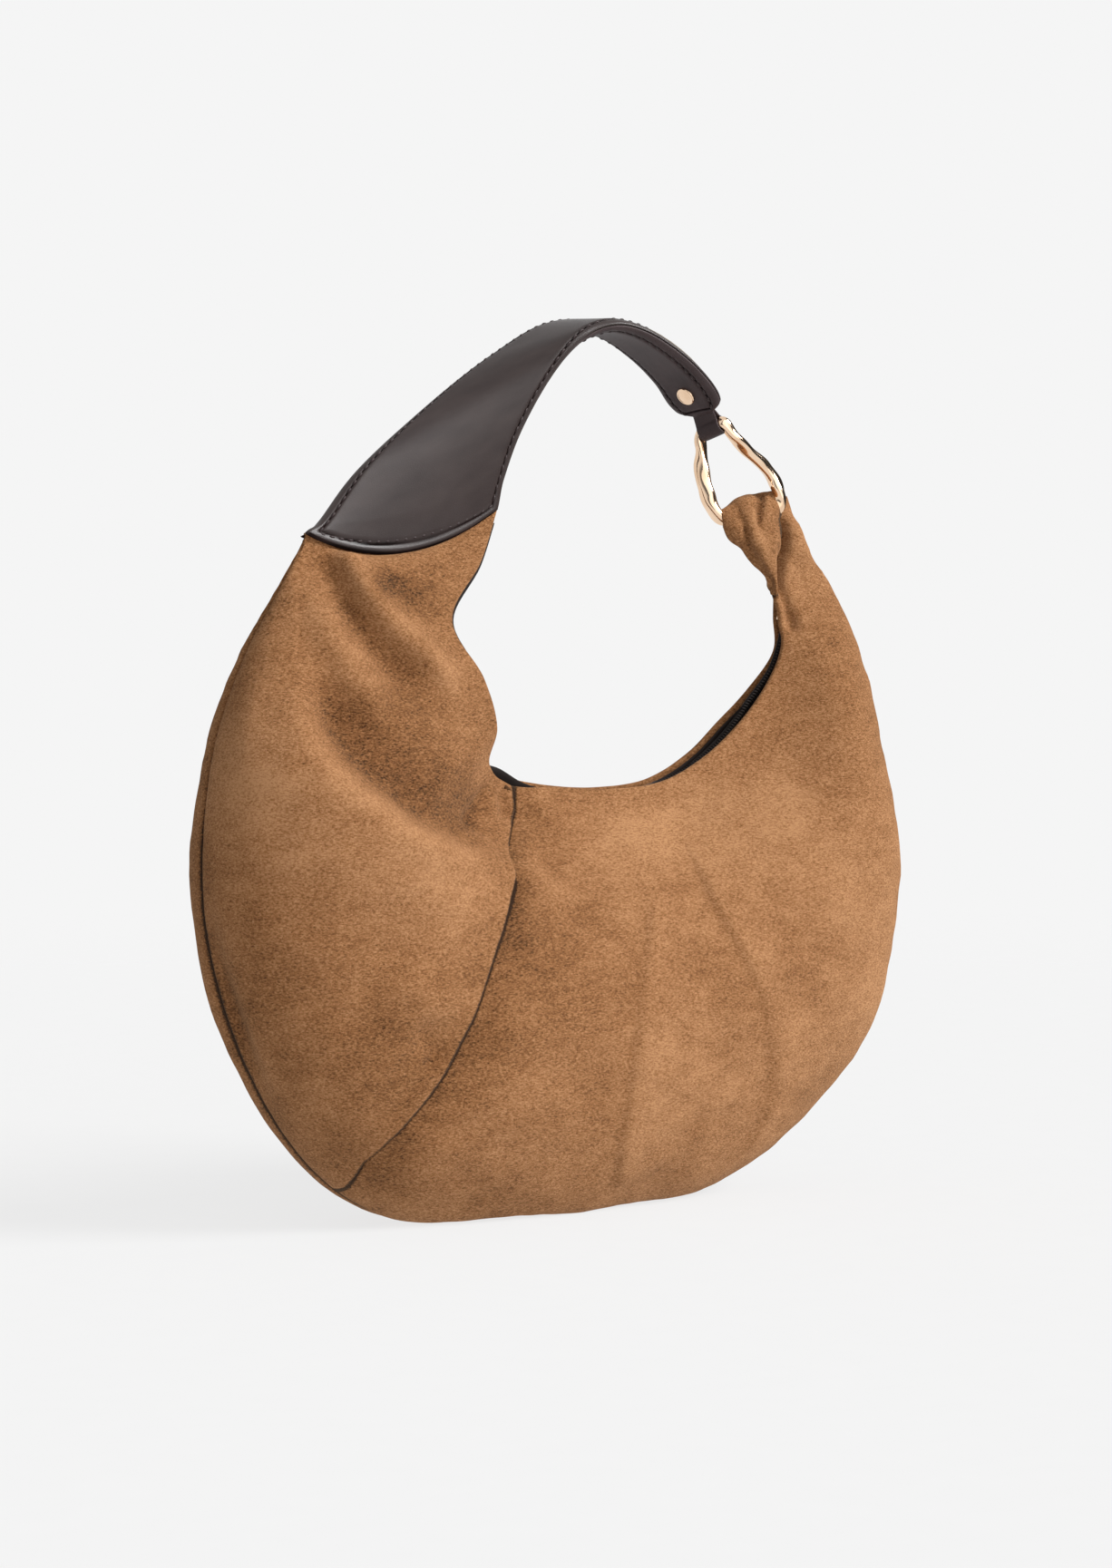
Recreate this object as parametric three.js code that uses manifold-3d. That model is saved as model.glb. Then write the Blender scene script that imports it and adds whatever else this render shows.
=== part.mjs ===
// Hobo bag: a crescent-shaped suede bag with a leather handle, a metal ring and a zipped mouth.
// Millimetres, +Z up, +X towards the ring end, the front faces -Y, the origin is on the ground
// under the middle of the bag.
import * as THREE from 'three';
import Module from 'manifold-3d';
import { mergeVertices } from 'three/addons/utils/BufferGeometryUtils.js';

// ---------------------------------------------------------------- driving dimensions
const SUEDE = 2.0;                 // thickness of the outer suede
const FACING = { outer: 2.5, inner: 3.7, band: 26 };      // leather behind the lips, depths from the face
const LINING = { outer: 4.9, inner: 5.6, start: 20 };     // cloth lining, it starts below the lip
const POCKET = { outer: 7.2, inner: 7.9 };                // slip pocket laid on the back lining
const SEAM_GAP = 0.3;              // the front and back halves each keep this far from the seam plane
const MOUTH = { x: 24, z: 292, r: 100 };                  // the mouth is an arc round this point
const LIP = 9.3;                   // outer face of a lip, out from the seam plane
const WIDEST = { t: 0.55, v: 0.5 };                       // where across the panel the belly is deepest
const LIP_CURL = 1.25;             // above 1 the panels hang straight down from the lip

const ZIP = { r: 103.5, left: 205, right: 345 };          // coil line, and where the slider stops, degrees
const TAPE = { near: 4.8, far: 5.3, top: 102.0, bottom: 115.0 };
const COIL = { near: 3.0, far: 4.5, half: 1.1 };
const STOP = { half: 0.9, length: 1.6, beforeLeft: 5, pastRight: 3.6 };   // the last two in degrees
const SLIDER = {
  length: 10, web: 2.3, flange: 4.2, gap: 1.6, plate: 1.4,
  lug: 3.6, lugHalf: 0.9, pinFromTop: 1.6,
};
const PULLER = {
  length: 20, half: 2.3, thick: 1.4,
  tail: 1.6, slot: 6.2,            // behind the pin, and past it between the prongs
  prong: 1.25, corner: [1.2, 1.5], pin: 0.5, pinInset: 0.2, hole: 0.9,
};

const RING = { wire: 2.75, bar: [107, 0, 321], tilt: 7.47 };   // the handle folds about its lower bar
const LOOP = { inner: 5.6, outer: 7.6, half: 17, leg: 29 };    // suede loop that wraps the bar
const STRAP = { core: 1.7, face: 3.3 };                   // half thickness of the filler space and the strap
const FILLER = { half: 1.2, inset: 2.5, range: [0.1, 0.8] };
const CHAPE = {
  half: 4.8, inner: 4.6, wall: 1.3, legGap: 0.3,
  legStations: [0.83, 0.865, 0.9, 0.935, 0.97, 1],        // along the strap
  loopStations: [45, 75, 105, 135, 165, 195, 225, 255, 285, 315],   // degrees round the ring's top bar
};
const RIVET = { head: 4.6, headThick: 1.4, shank: 1.6, hole: 2.1, station: 0.868 };

// ---------------------------------------------------------------- small helpers
const V = (x, y, z) => new THREE.Vector3(x, y, z);
const rad = THREE.MathUtils.degToRad;
const arcPoint = (r, degrees, y = 0) =>
  V(MOUTH.x + r * Math.cos(rad(degrees)), y, MOUTH.z + r * Math.sin(rad(degrees)));

// A closed body from a flat list of points and index triples, turned so that its faces point out.
function closedBody(points, triples) {
  let volume = 0;
  for (const [a, b, c] of triples) volume += points[a].dot(points[b].clone().cross(points[c]));
  const faces = volume < 0 ? triples.map(([a, b, c]) => [a, c, b]) : triples;
  const geometry = new THREE.BufferGeometry();
  geometry.setAttribute('position', new THREE.Float32BufferAttribute(points.flatMap((p) => p.toArray()), 3));
  geometry.setIndex(faces.flat());
  return geometry;
}

// A slab between two surfaces given over a grid of u and v from 0 to 1.
function slab(nu, nv, outer, inner) {
  const points = [];
  for (const surface of [outer, inner]) {
    for (let i = 0; i <= nu; i += 1) {
      for (let j = 0; j <= nv; j += 1) points.push(surface(i / nu, j / nv));
    }
  }
  const at = (layer, i, j) => layer * (nu + 1) * (nv + 1) + i * (nv + 1) + j;
  const triples = [];
  const quad = (a, b, c, d) => triples.push([a, b, c], [a, c, d]);
  for (let i = 0; i < nu; i += 1) {
    for (let j = 0; j < nv; j += 1) {
      quad(at(0, i, j), at(0, i + 1, j), at(0, i + 1, j + 1), at(0, i, j + 1));
      quad(at(1, i, j), at(1, i, j + 1), at(1, i + 1, j + 1), at(1, i + 1, j));
    }
    quad(at(0, i, 0), at(1, i, 0), at(1, i + 1, 0), at(0, i + 1, 0));
    quad(at(0, i, nv), at(0, i + 1, nv), at(1, i + 1, nv), at(1, i, nv));
  }
  for (let j = 0; j < nv; j += 1) {
    quad(at(0, 0, j), at(0, 0, j + 1), at(1, 0, j + 1), at(1, 0, j));
    quad(at(0, nu, j), at(1, nu, j), at(1, nu, j + 1), at(0, nu, j + 1));
  }
  return closedBody(points, triples);
}

// A round tube along a closed curve.
function closedTube(curve, radius, along, round) {
  const frames = curve.computeFrenetFrames(along, true);
  const points = [];
  for (let i = 0; i < along; i += 1) {
    const centre = curve.getPointAt(i / along);
    for (let j = 0; j < round; j += 1) {
      const turn = (2 * Math.PI * j) / round;
      points.push(centre.clone()
        .addScaledVector(frames.normals[i], radius * Math.cos(turn))
        .addScaledVector(frames.binormals[i], radius * Math.sin(turn)));
    }
  }
  const at = (i, j) => (i % along) * round + (j % round);
  const triples = [];
  for (let i = 0; i < along; i += 1) {
    for (let j = 0; j < round; j += 1) {
      triples.push([at(i, j), at(i + 1, j), at(i + 1, j + 1)], [at(i, j), at(i + 1, j + 1), at(i, j + 1)]);
    }
  }
  return closedBody(points, triples);
}

// Extrudes a flat outline by a length, centred on it, and lays its x, y and depth along three directions.
function extrudeAlong(shape, length, xDir, yDir, depthDir, origin, curveSegments = 8) {
  const geometry = new THREE.ExtrudeGeometry(shape, { depth: length, bevelEnabled: false, curveSegments });
  geometry.translate(0, 0, -length / 2);
  const place = new THREE.Matrix4().makeBasis(xDir, yDir, depthDir).setPosition(origin);
  geometry.applyMatrix4(place);
  return geometry;
}

const polygon = (pairs) => new THREE.Shape(pairs.map(([x, y]) => new THREE.Vector2(x, y)));

// ---------------------------------------------------------------- joins and cuts
const wasm = await Module();
wasm.setup();

function toSolid(geometry) {
  const bare = geometry.clone();
  bare.deleteAttribute('normal');
  bare.deleteAttribute('uv');
  const merged = mergeVertices(bare, 1e-4);
  return new wasm.Manifold(new wasm.Mesh({
    numProp: 3,
    vertProperties: new Float32Array(merged.attributes.position.array),
    triVerts: new Uint32Array(merged.index.array),
  }));
}

function fromSolid(solid) {
  const mesh = solid.getMesh();
  const geometry = new THREE.BufferGeometry();
  geometry.setAttribute('position', new THREE.Float32BufferAttribute(mesh.vertProperties, 3));
  geometry.setIndex([...mesh.triVerts]);
  return geometry;
}

const cut = (body, tool) => fromSolid(toSolid(body).subtract(toSolid(tool)));
const join = (body, other) => fromSolid(toSolid(body).add(toSolid(other)));

function rod(radius, length, centre, direction, sides = 16) {
  const geometry = new THREE.CylinderGeometry(radius, radius, length, sides);
  geometry.applyQuaternion(new THREE.Quaternion().setFromUnitVectors(V(0, 1, 0), direction));
  geometry.translate(centre.x, centre.y, centre.z);
  return geometry;
}

// ---------------------------------------------------------------- the bag's crescent
// Ribs run from the mouth to the outer seam, in the plane of the seam, from the leather end to the ring end.
// mouth: a point, or the place on the mouth's arc in degrees. seam: a point of the outer seam.
// deep: half depth of the belly on this rib. lip: outer face of the lip.
const RIBS = [
  { mouth: [-48, 297], seam: [-142, 284.5], deep: 5.4, lip: 4.4 },
  { mouth: 194, seam: [-165, 258], deep: 17, lip: LIP },
  { mouth: 209, seam: [-184, 208], deep: 32, lip: LIP },
  { mouth: 221, seam: [-189, 140], deep: 42, lip: LIP },
  { mouth: 229, seam: [-170, 68], deep: 46, lip: LIP },
  { mouth: 237, seam: [-125, 18], deep: 49, lip: LIP },
  { mouth: 251, seam: [-62, -7], deep: 51, lip: LIP },
  { mouth: 268, seam: [0, -9], deep: 52, lip: LIP },
  { mouth: 285, seam: [58, -3], deep: 50, lip: LIP },
  { mouth: 300, seam: [115, 18], deep: 46, lip: LIP },
  { mouth: 314, seam: [164, 62], deep: 42, lip: LIP },
  { mouth: 327, seam: [189, 125], deep: 37, lip: LIP },
  { mouth: 339, seam: [185, 197], deep: 28, lip: LIP },
  { mouth: 350, seam: [166, 250], deep: 18, lip: LIP },
  { mouth: [118, 287], seam: [151, 287], deep: 5.4, lip: 4.6 },
  { mouth: [96, 309.5], seam: [134, 313], deep: 5, lip: 4.4 },
];
const LAST = RIBS.length - 1;
const PLEAT_RIB = 5;               // the draped panel meets the main panel on this rib

const mouthOf = (rib) =>
  (Array.isArray(rib.mouth) ? V(rib.mouth[0], 0, rib.mouth[1]) : arcPoint(MOUTH.r, rib.mouth));
const mouthCurve = new THREE.CatmullRomCurve3(RIBS.map(mouthOf));
const seamCurve = new THREE.CatmullRomCurve3(RIBS.map((rib) => V(rib.seam[0], 0, rib.seam[1])));
const deepCurve = new THREE.CatmullRomCurve3(RIBS.map((rib) => V(rib.deep, rib.lip, 0)));

// The front face at a rib position (0 to LAST) and v from 0 at the lip to 1 at the seam.
function face(ribPosition, v) {
  const along = THREE.MathUtils.clamp(ribPosition / LAST, 0, 1);
  const { x: deep, y: lip } = deepCurve.getPoint(along);
  let t;
  let out;
  if (v < WIDEST.v) {
    const rise = v / WIDEST.v;
    t = WIDEST.t * rise;
    out = lip + (deep - lip) * Math.sin((Math.PI / 2) * rise) ** LIP_CURL;
  } else {
    const turn = ((v - WIDEST.v) / (1 - WIDEST.v)) * (Math.PI / 2);
    t = WIDEST.t + (1 - WIDEST.t) * Math.sin(turn);
    out = SEAM_GAP + (deep - SEAM_GAP) * Math.cos(turn);
  }
  const point = mouthCurve.getPoint(along).lerp(seamCurve.getPoint(along), t);
  point.y = -out;
  return point;
}

function faceNormal(ribPosition, v) {
  const du = 0.02;
  const dv = 0.01;
  const a = face(Math.max(ribPosition - du, 0), v);
  const b = face(Math.min(ribPosition + du, LAST), v);
  const c = face(ribPosition, Math.max(v - dv, 0));
  const d = face(ribPosition, Math.min(v + dv, 1));
  const normal = b.sub(a).cross(d.sub(c)).normalize();
  if (v > 0.995) normal.y = 0;
  return normal.y > 0 ? normal.negate().normalize() : normal.normalize();
}

// A point a given depth behind the face, on the front (side -1) or the back (side +1), resting on the ground.
function layer(side, ribPosition, v, depth) {
  const point = face(ribPosition, v);
  const inward = faceNormal(ribPosition, v).negate();
  if (v > 0.995) {
    const middle = mouthCurve.getPoint(ribPosition / LAST).sub(point);
    if (inward.dot(middle) < 0) inward.negate();
  }
  point.addScaledVector(inward, depth);
  point.z = Math.max(point.z, depth);
  point.y = side * Math.max(-point.y, SEAM_GAP);
  return point;
}

// v at a distance below the lip, measured in the plane of the seam.
function vBelowLip(ribPosition, distance) {
  const along = ribPosition / LAST;
  const length = mouthCurve.getPoint(along).distanceTo(seamCurve.getPoint(along));
  return (WIDEST.v * distance) / (WIDEST.t * length);
}

// One layer of the bag: a slab that follows the face between two ribs, two v lines and two depths.
function bagLayer(side, { ribs, from = () => 0, to = () => 1, outer, inner, nu, nv }) {
  const at = (depth) => (u, w) => {
    const rib = THREE.MathUtils.lerp(ribs[0], ribs[1], u);
    return layer(side, rib, THREE.MathUtils.lerp(from(rib), to(rib), w), depth);
  };
  return slab(nu, nv, at(outer), at(inner));
}

const FRONT = -1;
const BACK = 1;
const PLEAT_GAP = 0.004;           // in ribs, about 0.3 mm at the narrow end
const panel = (side, ribs, nu) => bagLayer(side, { ribs, outer: 0, inner: SUEDE, nu, nv: 10 });

const draped = panel(FRONT, [0, PLEAT_RIB - PLEAT_GAP], 12);
const main = panel(FRONT, [PLEAT_RIB + PLEAT_GAP, LAST], 24);
const back = panel(BACK, [0, LAST], 36);

const LINED = [1.6, 12.7];
const lining = (side) => bagLayer(side, {
  ribs: LINED, from: (rib) => vBelowLip(rib, LINING.start),
  outer: LINING.outer, inner: LINING.inner, nu: 26, nv: 8,
});
const facing = (side) => bagLayer(side, {
  ribs: LINED, to: (rib) => vBelowLip(rib, FACING.band),
  outer: FACING.outer, inner: FACING.inner, nu: 28, nv: 2,
});
const pocket = bagLayer(BACK, {
  ribs: [6.2, 8.4], from: () => 0.36, to: () => 0.68, outer: POCKET.outer, inner: POCKET.inner, nu: 8, nv: 6,
});

// ---------------------------------------------------------------- the zip
// A band that follows the mouth's arc between two radii and two distances from the seam plane.
function arcBand(side, fromDegrees, toDegrees, r0, r1, y0, y1, steps) {
  const at = (y) => (u, w) => arcPoint(
    THREE.MathUtils.lerp(r0, r1, w), THREE.MathUtils.lerp(fromDegrees, toDegrees, u), side * y);
  return slab(steps, 1, at(y0), at(y1));
}

const TAPE_ENDS = [ZIP.left - 6, ZIP.right + 5];
const COIL_ENDS = [ZIP.left - 3.5, ZIP.right + 2.5];
const tape = (side) => arcBand(side, ...TAPE_ENDS, TAPE.top, TAPE.bottom, TAPE.near, TAPE.far, 26);
const coil = (side) => arcBand(
  side, ...COIL_ENDS, ZIP.r - COIL.half, ZIP.r + COIL.half, COIL.near, COIL.far, 26);

// Local directions on the arc: out from the mouth's centre, and along the arc towards the ring end.
const outward = (degrees) => V(Math.cos(rad(degrees)), 0, Math.sin(rad(degrees)));
const onward = (degrees) => V(-Math.sin(rad(degrees)), 0, Math.cos(rad(degrees)));
const ACROSS = V(0, 1, 0);

// A small metal stop across one coil or both, between two distances from the seam plane.
function stop(degrees, yNear, yFar) {
  const outline = polygon([[yNear, -STOP.half], [yFar, -STOP.half], [yFar, STOP.half], [yNear, STOP.half]]);
  const along = onward(degrees).negate();
  return extrudeAlong(outline, STOP.length, ACROSS, outward(degrees), along, arcPoint(ZIP.r, degrees));
}

function slider() {
  const s = SLIDER;
  const inside = -(s.gap + s.plate);
  const outline = polygon([
    [-s.flange, inside], [-s.lugHalf, inside], [-s.lugHalf, inside - s.lug], [s.lugHalf, inside - s.lug],
    [s.lugHalf, inside], [s.flange, inside], [s.flange, -s.gap], [s.web, -s.gap], [s.web, s.gap],
    [s.flange, s.gap], [s.flange, s.gap + s.plate], [-s.flange, s.gap + s.plate], [-s.flange, s.gap],
    [-s.web, s.gap], [-s.web, -s.gap], [-s.flange, -s.gap],
  ]);
  const body = extrudeAlong(outline, s.length, ACROSS, outward(ZIP.left), onward(ZIP.left).negate(),
    arcPoint(ZIP.r, ZIP.left));
  return cut(body, rod(PULLER.hole, 4 * s.lugHalf, pullerPin(), ACROSS, 12));
}

const pinRadius = () => ZIP.r - SLIDER.gap - SLIDER.plate - SLIDER.lug + SLIDER.pinFromTop;
const pullerPin = () => arcPoint(pinRadius(), ZIP.left);

// The puller is a fork on a pin through the slider's lug, with a flat tongue that lies along the zip.
function puller() {
  const p = PULLER;
  const fork = polygon([
    [-p.half, -p.tail], [-p.prong, -p.tail], [-p.prong, p.slot], [p.prong, p.slot],
    [p.prong, -p.tail], [p.half, -p.tail], [p.half, p.length - p.corner[1]], [p.half - p.corner[0], p.length],
    [p.corner[0] - p.half, p.length], [-p.half, p.length - p.corner[1]],
  ]);
  const plate = extrudeAlong(fork, p.thick, ACROSS, onward(ZIP.left), outward(ZIP.left), pullerPin());
  return join(plate, rod(p.pin, 2 * (p.half - p.pinInset), pullerPin(), ACROSS, 10));
}

// ---------------------------------------------------------------- the ring and its suede loop
const barDirection = V(Math.cos(rad(RING.tilt)), 0, Math.sin(rad(RING.tilt)));
const barCentre = V(...RING.bar);
const onBar = (along) => barCentre.clone().addScaledVector(barDirection, along);

// The ring is a hand-formed, rounded triangle. Its top turns a little towards the strap.
const TOP_BAR = { centre: V(83, 0, 361), direction: V(0.40, -0.85, 0.34).normalize() };
const onTopBar = (along) => TOP_BAR.centre.clone().addScaledVector(TOP_BAR.direction, along);
const ringCurve = new THREE.CatmullRomCurve3([
  onBar(-19), onBar(-9), onBar(0), onBar(9), onBar(17.5),
  V(127.5, -1, 329), V(120, -2.4, 339.5), V(106, -4.2, 348), V(93.5, -7, 357.5),
  onTopBar(6), onTopBar(0), onTopBar(-6),
  V(77.5, 6, 351), V(76.5, 3.6, 341), V(77.5, 1.2, 329),
], true, 'centripetal');
const ring = closedTube(ringCurve, RING.wire, 44, 10);

// The loop's section, looked at along the bar: an arch over the bar and two legs down the neck.
function loopSection(inner, outer, leg) {
  const shape = new THREE.Shape();
  shape.moveTo(outer, -leg);
  shape.lineTo(outer, 0);
  shape.absarc(0, 0, outer, 0, Math.PI, false);
  shape.lineTo(-outer, -leg);
  shape.lineTo(-inner, -leg);
  shape.lineTo(-inner, 0);
  shape.absarc(0, 0, inner, Math.PI, 0, true);
  shape.lineTo(inner, -leg);
  return shape;
}

const barUp = V(-Math.sin(rad(RING.tilt)), 0, Math.cos(rad(RING.tilt)));
const ringLoop = extrudeAlong(loopSection(LOOP.inner, LOOP.outer, LOOP.leg), 2 * LOOP.half,
  ACROSS, barUp, ACROSS.clone().cross(barUp), barCentre);

// ---------------------------------------------------------------- the handle
// Pairs of points on the strap's back edge and front edge, from the leaf's foot to the tip.
const STRAP_EDGES = [
  { back: [-139, 0, 304], front: [-38, 0, 321], sag: 13.5 },
  { back: [-130, 1, 312], front: [-35, -2, 334], sag: 4 },
  { back: [-109, 4, 335], front: [-28, -6, 356], sag: 0 },
  { back: [-74, 8, 362], front: [-12, -11, 384], sag: 0 },
  { back: [-35, 12, 388], front: [5, -14, 401], sag: 0 },
  { back: [-2, 15, 405], front: [19, -16, 406.5], sag: 0 },
  { back: [25, 16, 406], front: [33, -16.5, 405], sag: 0 },
  { back: [46, 16, 395], front: [50, -16.5, 398.5], sag: 0 },
  { back: [61, 15.5, 382], front: [66, -16, 388], sag: 0 },
  { back: [68.5, 13.5, 371], front: [76.5, -14.5, 377], sag: 0 },
  { back: [75, 7.5, 365], front: [80.5, -8.5, 369.5], sag: 0 },
];
const backEdge = new THREE.CatmullRomCurve3(STRAP_EDGES.map((pair) => V(...pair.back)));
const frontEdge = new THREE.CatmullRomCurve3(STRAP_EDGES.map((pair) => V(...pair.front)));
const sagCurve = new THREE.CatmullRomCurve3(STRAP_EDGES.map((pair, i) => V(i, pair.sag, 0)));

function strapMiddle(s, w) {
  const point = backEdge.getPoint(s).lerp(frontEdge.getPoint(s), w);
  point.z -= sagCurve.getPoint(s).y * 4 * w * (1 - w);
  return point;
}

function strapNormal(s, w) {
  const step = 0.01;
  const along = strapMiddle(Math.min(s + step, 1), w).sub(strapMiddle(Math.max(s - step, 0), w));
  const across = frontEdge.getPoint(s).sub(backEdge.getPoint(s));
  return across.cross(along).normalize().negate();
}

// One layer of the strap between two offsets from its middle surface. Positive is the outer ply's side.
function strapLayer(from, to, inset, sRange, nu, nv) {
  const at = (offset) => (u, w) => {
    const s = THREE.MathUtils.lerp(sRange[0], sRange[1], u);
    const width = backEdge.getPoint(s).distanceTo(frontEdge.getPoint(s));
    const across = THREE.MathUtils.lerp(inset / width, 1 - inset / width, w);
    return strapMiddle(s, across).addScaledVector(strapNormal(s, across), offset);
  };
  return slab(nu, nv, at(to), at(from));
}

// The chape: a leather strip folded round the ring's top bar, its two legs sewn between the strap's plies.
function chape() {
  const c = CHAPE;
  const tip = strapMiddle(1, 0.5);
  const up = tip.sub(TOP_BAR.centre);
  up.addScaledVector(TOP_BAR.direction, -up.dot(TOP_BAR.direction)).normalize();
  const out = TOP_BAR.direction.clone().cross(up).normalize();
  if (out.dot(strapNormal(1, 0.5)) < 0) out.negate();
  const legOffset = c.legGap / 2 + c.wall / 2;
  const stations = [];
  const addLeg = (s, offset) => stations.push({
    at: strapMiddle(s, 0.5).addScaledVector(strapNormal(s, 0.5), offset),
    across: frontEdge.getPoint(s).sub(backEdge.getPoint(s)).normalize(),
    normal: strapNormal(s, 0.5).multiplyScalar(Math.sign(offset)),
  });
  for (const s of c.legStations) addLeg(s, legOffset);
  for (const degrees of c.loopStations) {
    const turn = rad(degrees);
    const radial = up.clone().multiplyScalar(Math.cos(turn)).addScaledVector(out, Math.sin(turn));
    stations.push({
      at: TOP_BAR.centre.clone().addScaledVector(radial, c.inner + c.wall / 2),
      across: TOP_BAR.direction,
      normal: radial,
    });
  }
  for (const s of [...c.legStations].reverse()) addLeg(s, -legOffset);
  const surface = (offset) => (u, w) => {
    const station = stations[Math.round(u * (stations.length - 1))];
    return station.at.clone()
      .addScaledVector(station.across, (2 * w - 1) * c.half)
      .addScaledVector(station.normal, offset);
  };
  return slab(stations.length - 1, 1, surface(c.wall / 2), surface(-c.wall / 2));
}

// A rivet through both plies and the chape: its head shows on the lining side, its cap on the outer side.
const rivetAxis = strapNormal(RIVET.station, 0.5);
const rivetCentre = strapMiddle(RIVET.station, 0.5);

function rivetPart(profile) {
  const geometry = new THREE.LatheGeometry(profile.map(([x, y]) => new THREE.Vector2(x, y)), 20);
  geometry.applyQuaternion(new THREE.Quaternion().setFromUnitVectors(ACROSS, rivetAxis));
  geometry.translate(rivetCentre.x, rivetCentre.y, rivetCentre.z);
  return geometry;
}

const rivetSeat = STRAP.face + 0.4;
const rivetTop = rivetSeat + RIVET.headThick;
const rivetHead = rivetPart([
  [0, -rivetTop], [RIVET.head - 0.7, -rivetTop], [RIVET.head, -rivetTop + 0.5], [RIVET.head, -rivetSeat],
  [RIVET.shank, -rivetSeat], [RIVET.shank, rivetSeat + 0.4], [0, rivetSeat + 0.4],
]);
const rivetCap = rivetPart([
  [0, rivetTop], [RIVET.head - 0.7, rivetTop], [RIVET.head, rivetTop - 0.5], [RIVET.head, rivetSeat],
  [RIVET.shank + 0.3, rivetSeat], [RIVET.shank + 0.3, rivetSeat + 0.7], [0, rivetSeat + 0.7],
].reverse());
const pierced = (geometry) => cut(geometry, rod(RIVET.hole, 4 * STRAP.face, rivetCentre, rivetAxis));

const WHOLE = [0, 1];
const outerPly = pierced(strapLayer(STRAP.core, STRAP.face, 0, WHOLE, 30, 4));
const liningPly = pierced(strapLayer(-STRAP.face, -STRAP.core, 0, WHOLE, 30, 4));
const filler = strapLayer(-FILLER.half, FILLER.half, FILLER.inset, FILLER.range, 21, 4);

// ---------------------------------------------------------------- the assembly
const material = (color, roughness, metalness = 0) =>
  new THREE.MeshStandardMaterial({ color, roughness, metalness });
const suede = material(0xa8754a, 0.95);
const leather = material(0x43373a, 0.45);
const gold = material(0xe0b98c, 0.2, 1);
const cloth = material(0x5a4a3e, 0.9);
const tapeCloth = material(0x2c2422, 0.85);
const coilPlastic = material(0x3a302c, 0.5);
const board = material(0x7a6a58, 0.9);

const bag = new THREE.Group();
function add(name, geometry, look) {
  const mesh = new THREE.Mesh(geometry, look);
  mesh.name = name;
  bag.add(mesh);
}

add('draped_front_panel', draped, suede);
add('main_front_panel', main, suede);
add('back_panel', back, suede);
add('ring_loop', ringLoop, suede);
add('mouth_facing_front', facing(FRONT), leather);
add('mouth_facing_back', facing(BACK), leather);
add('lining_front', lining(FRONT), cloth);
add('lining_back', lining(BACK), cloth);
add('slip_pocket', pocket, cloth);
add('zip_tape_front', tape(FRONT), tapeCloth);
add('zip_tape_back', tape(BACK), tapeCloth);
add('zip_coil_front', coil(FRONT), coilPlastic);
add('zip_coil_back', coil(BACK), coilPlastic);
add('zip_bottom_stop', stop(ZIP.left - STOP.beforeLeft, -COIL.far, COIL.far), gold);
add('zip_top_stop_front', stop(ZIP.right + STOP.pastRight, -COIL.far, -COIL.near), gold);
add('zip_top_stop_back', stop(ZIP.right + STOP.pastRight, COIL.near, COIL.far), gold);
add('zip_slider', slider(), gold);
add('zip_puller', puller(), gold);
add('ring', ring, gold);
add('strap_outer_ply', outerPly, leather);
add('strap_lining_ply', liningPly, leather);
add('strap_filler', filler, board);
add('chape', pierced(chape()), leather);
add('rivet_head', rivetHead, gold);
add('rivet_cap', rivetCap, gold);

export default bag;
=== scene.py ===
"""Looks of the hobo bag: suede panels with their folds, a leather handle, a hammered ring and a zipped mouth.

Lengths in the tables are millimetres in the CAD frame: +X towards the ring end, the front faces -Y, +Z up.
Ribs run from the mouth to the outer seam. A place on a panel is (u, v): u counts ribs from the leather leaf
to the ring, v goes from 0 at the lip to 1 at the outer seam.
"""

import math

import bpy
import numpy as np
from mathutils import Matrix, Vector


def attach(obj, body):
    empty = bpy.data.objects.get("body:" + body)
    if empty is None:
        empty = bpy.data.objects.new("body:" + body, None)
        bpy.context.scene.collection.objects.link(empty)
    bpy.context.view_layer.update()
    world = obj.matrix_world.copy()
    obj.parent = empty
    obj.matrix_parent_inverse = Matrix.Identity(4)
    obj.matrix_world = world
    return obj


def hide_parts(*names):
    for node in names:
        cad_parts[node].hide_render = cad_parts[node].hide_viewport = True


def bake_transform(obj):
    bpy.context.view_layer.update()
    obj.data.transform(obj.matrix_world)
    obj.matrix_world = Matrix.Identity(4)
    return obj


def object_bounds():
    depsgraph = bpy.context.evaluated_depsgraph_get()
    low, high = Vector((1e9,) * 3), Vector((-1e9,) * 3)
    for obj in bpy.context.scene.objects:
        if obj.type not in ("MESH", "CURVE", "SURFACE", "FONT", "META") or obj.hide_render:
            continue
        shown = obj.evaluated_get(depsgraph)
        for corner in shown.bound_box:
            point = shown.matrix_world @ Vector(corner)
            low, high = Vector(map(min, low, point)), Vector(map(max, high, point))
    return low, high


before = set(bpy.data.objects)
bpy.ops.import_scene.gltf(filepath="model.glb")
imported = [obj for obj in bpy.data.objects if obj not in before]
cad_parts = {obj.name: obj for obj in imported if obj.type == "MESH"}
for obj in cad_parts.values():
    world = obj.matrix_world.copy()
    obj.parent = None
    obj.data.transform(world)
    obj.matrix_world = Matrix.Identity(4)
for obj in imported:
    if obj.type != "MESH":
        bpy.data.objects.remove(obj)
CAD_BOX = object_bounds()

MM = 0.001
FRONT, BACK = -1, 1

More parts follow.
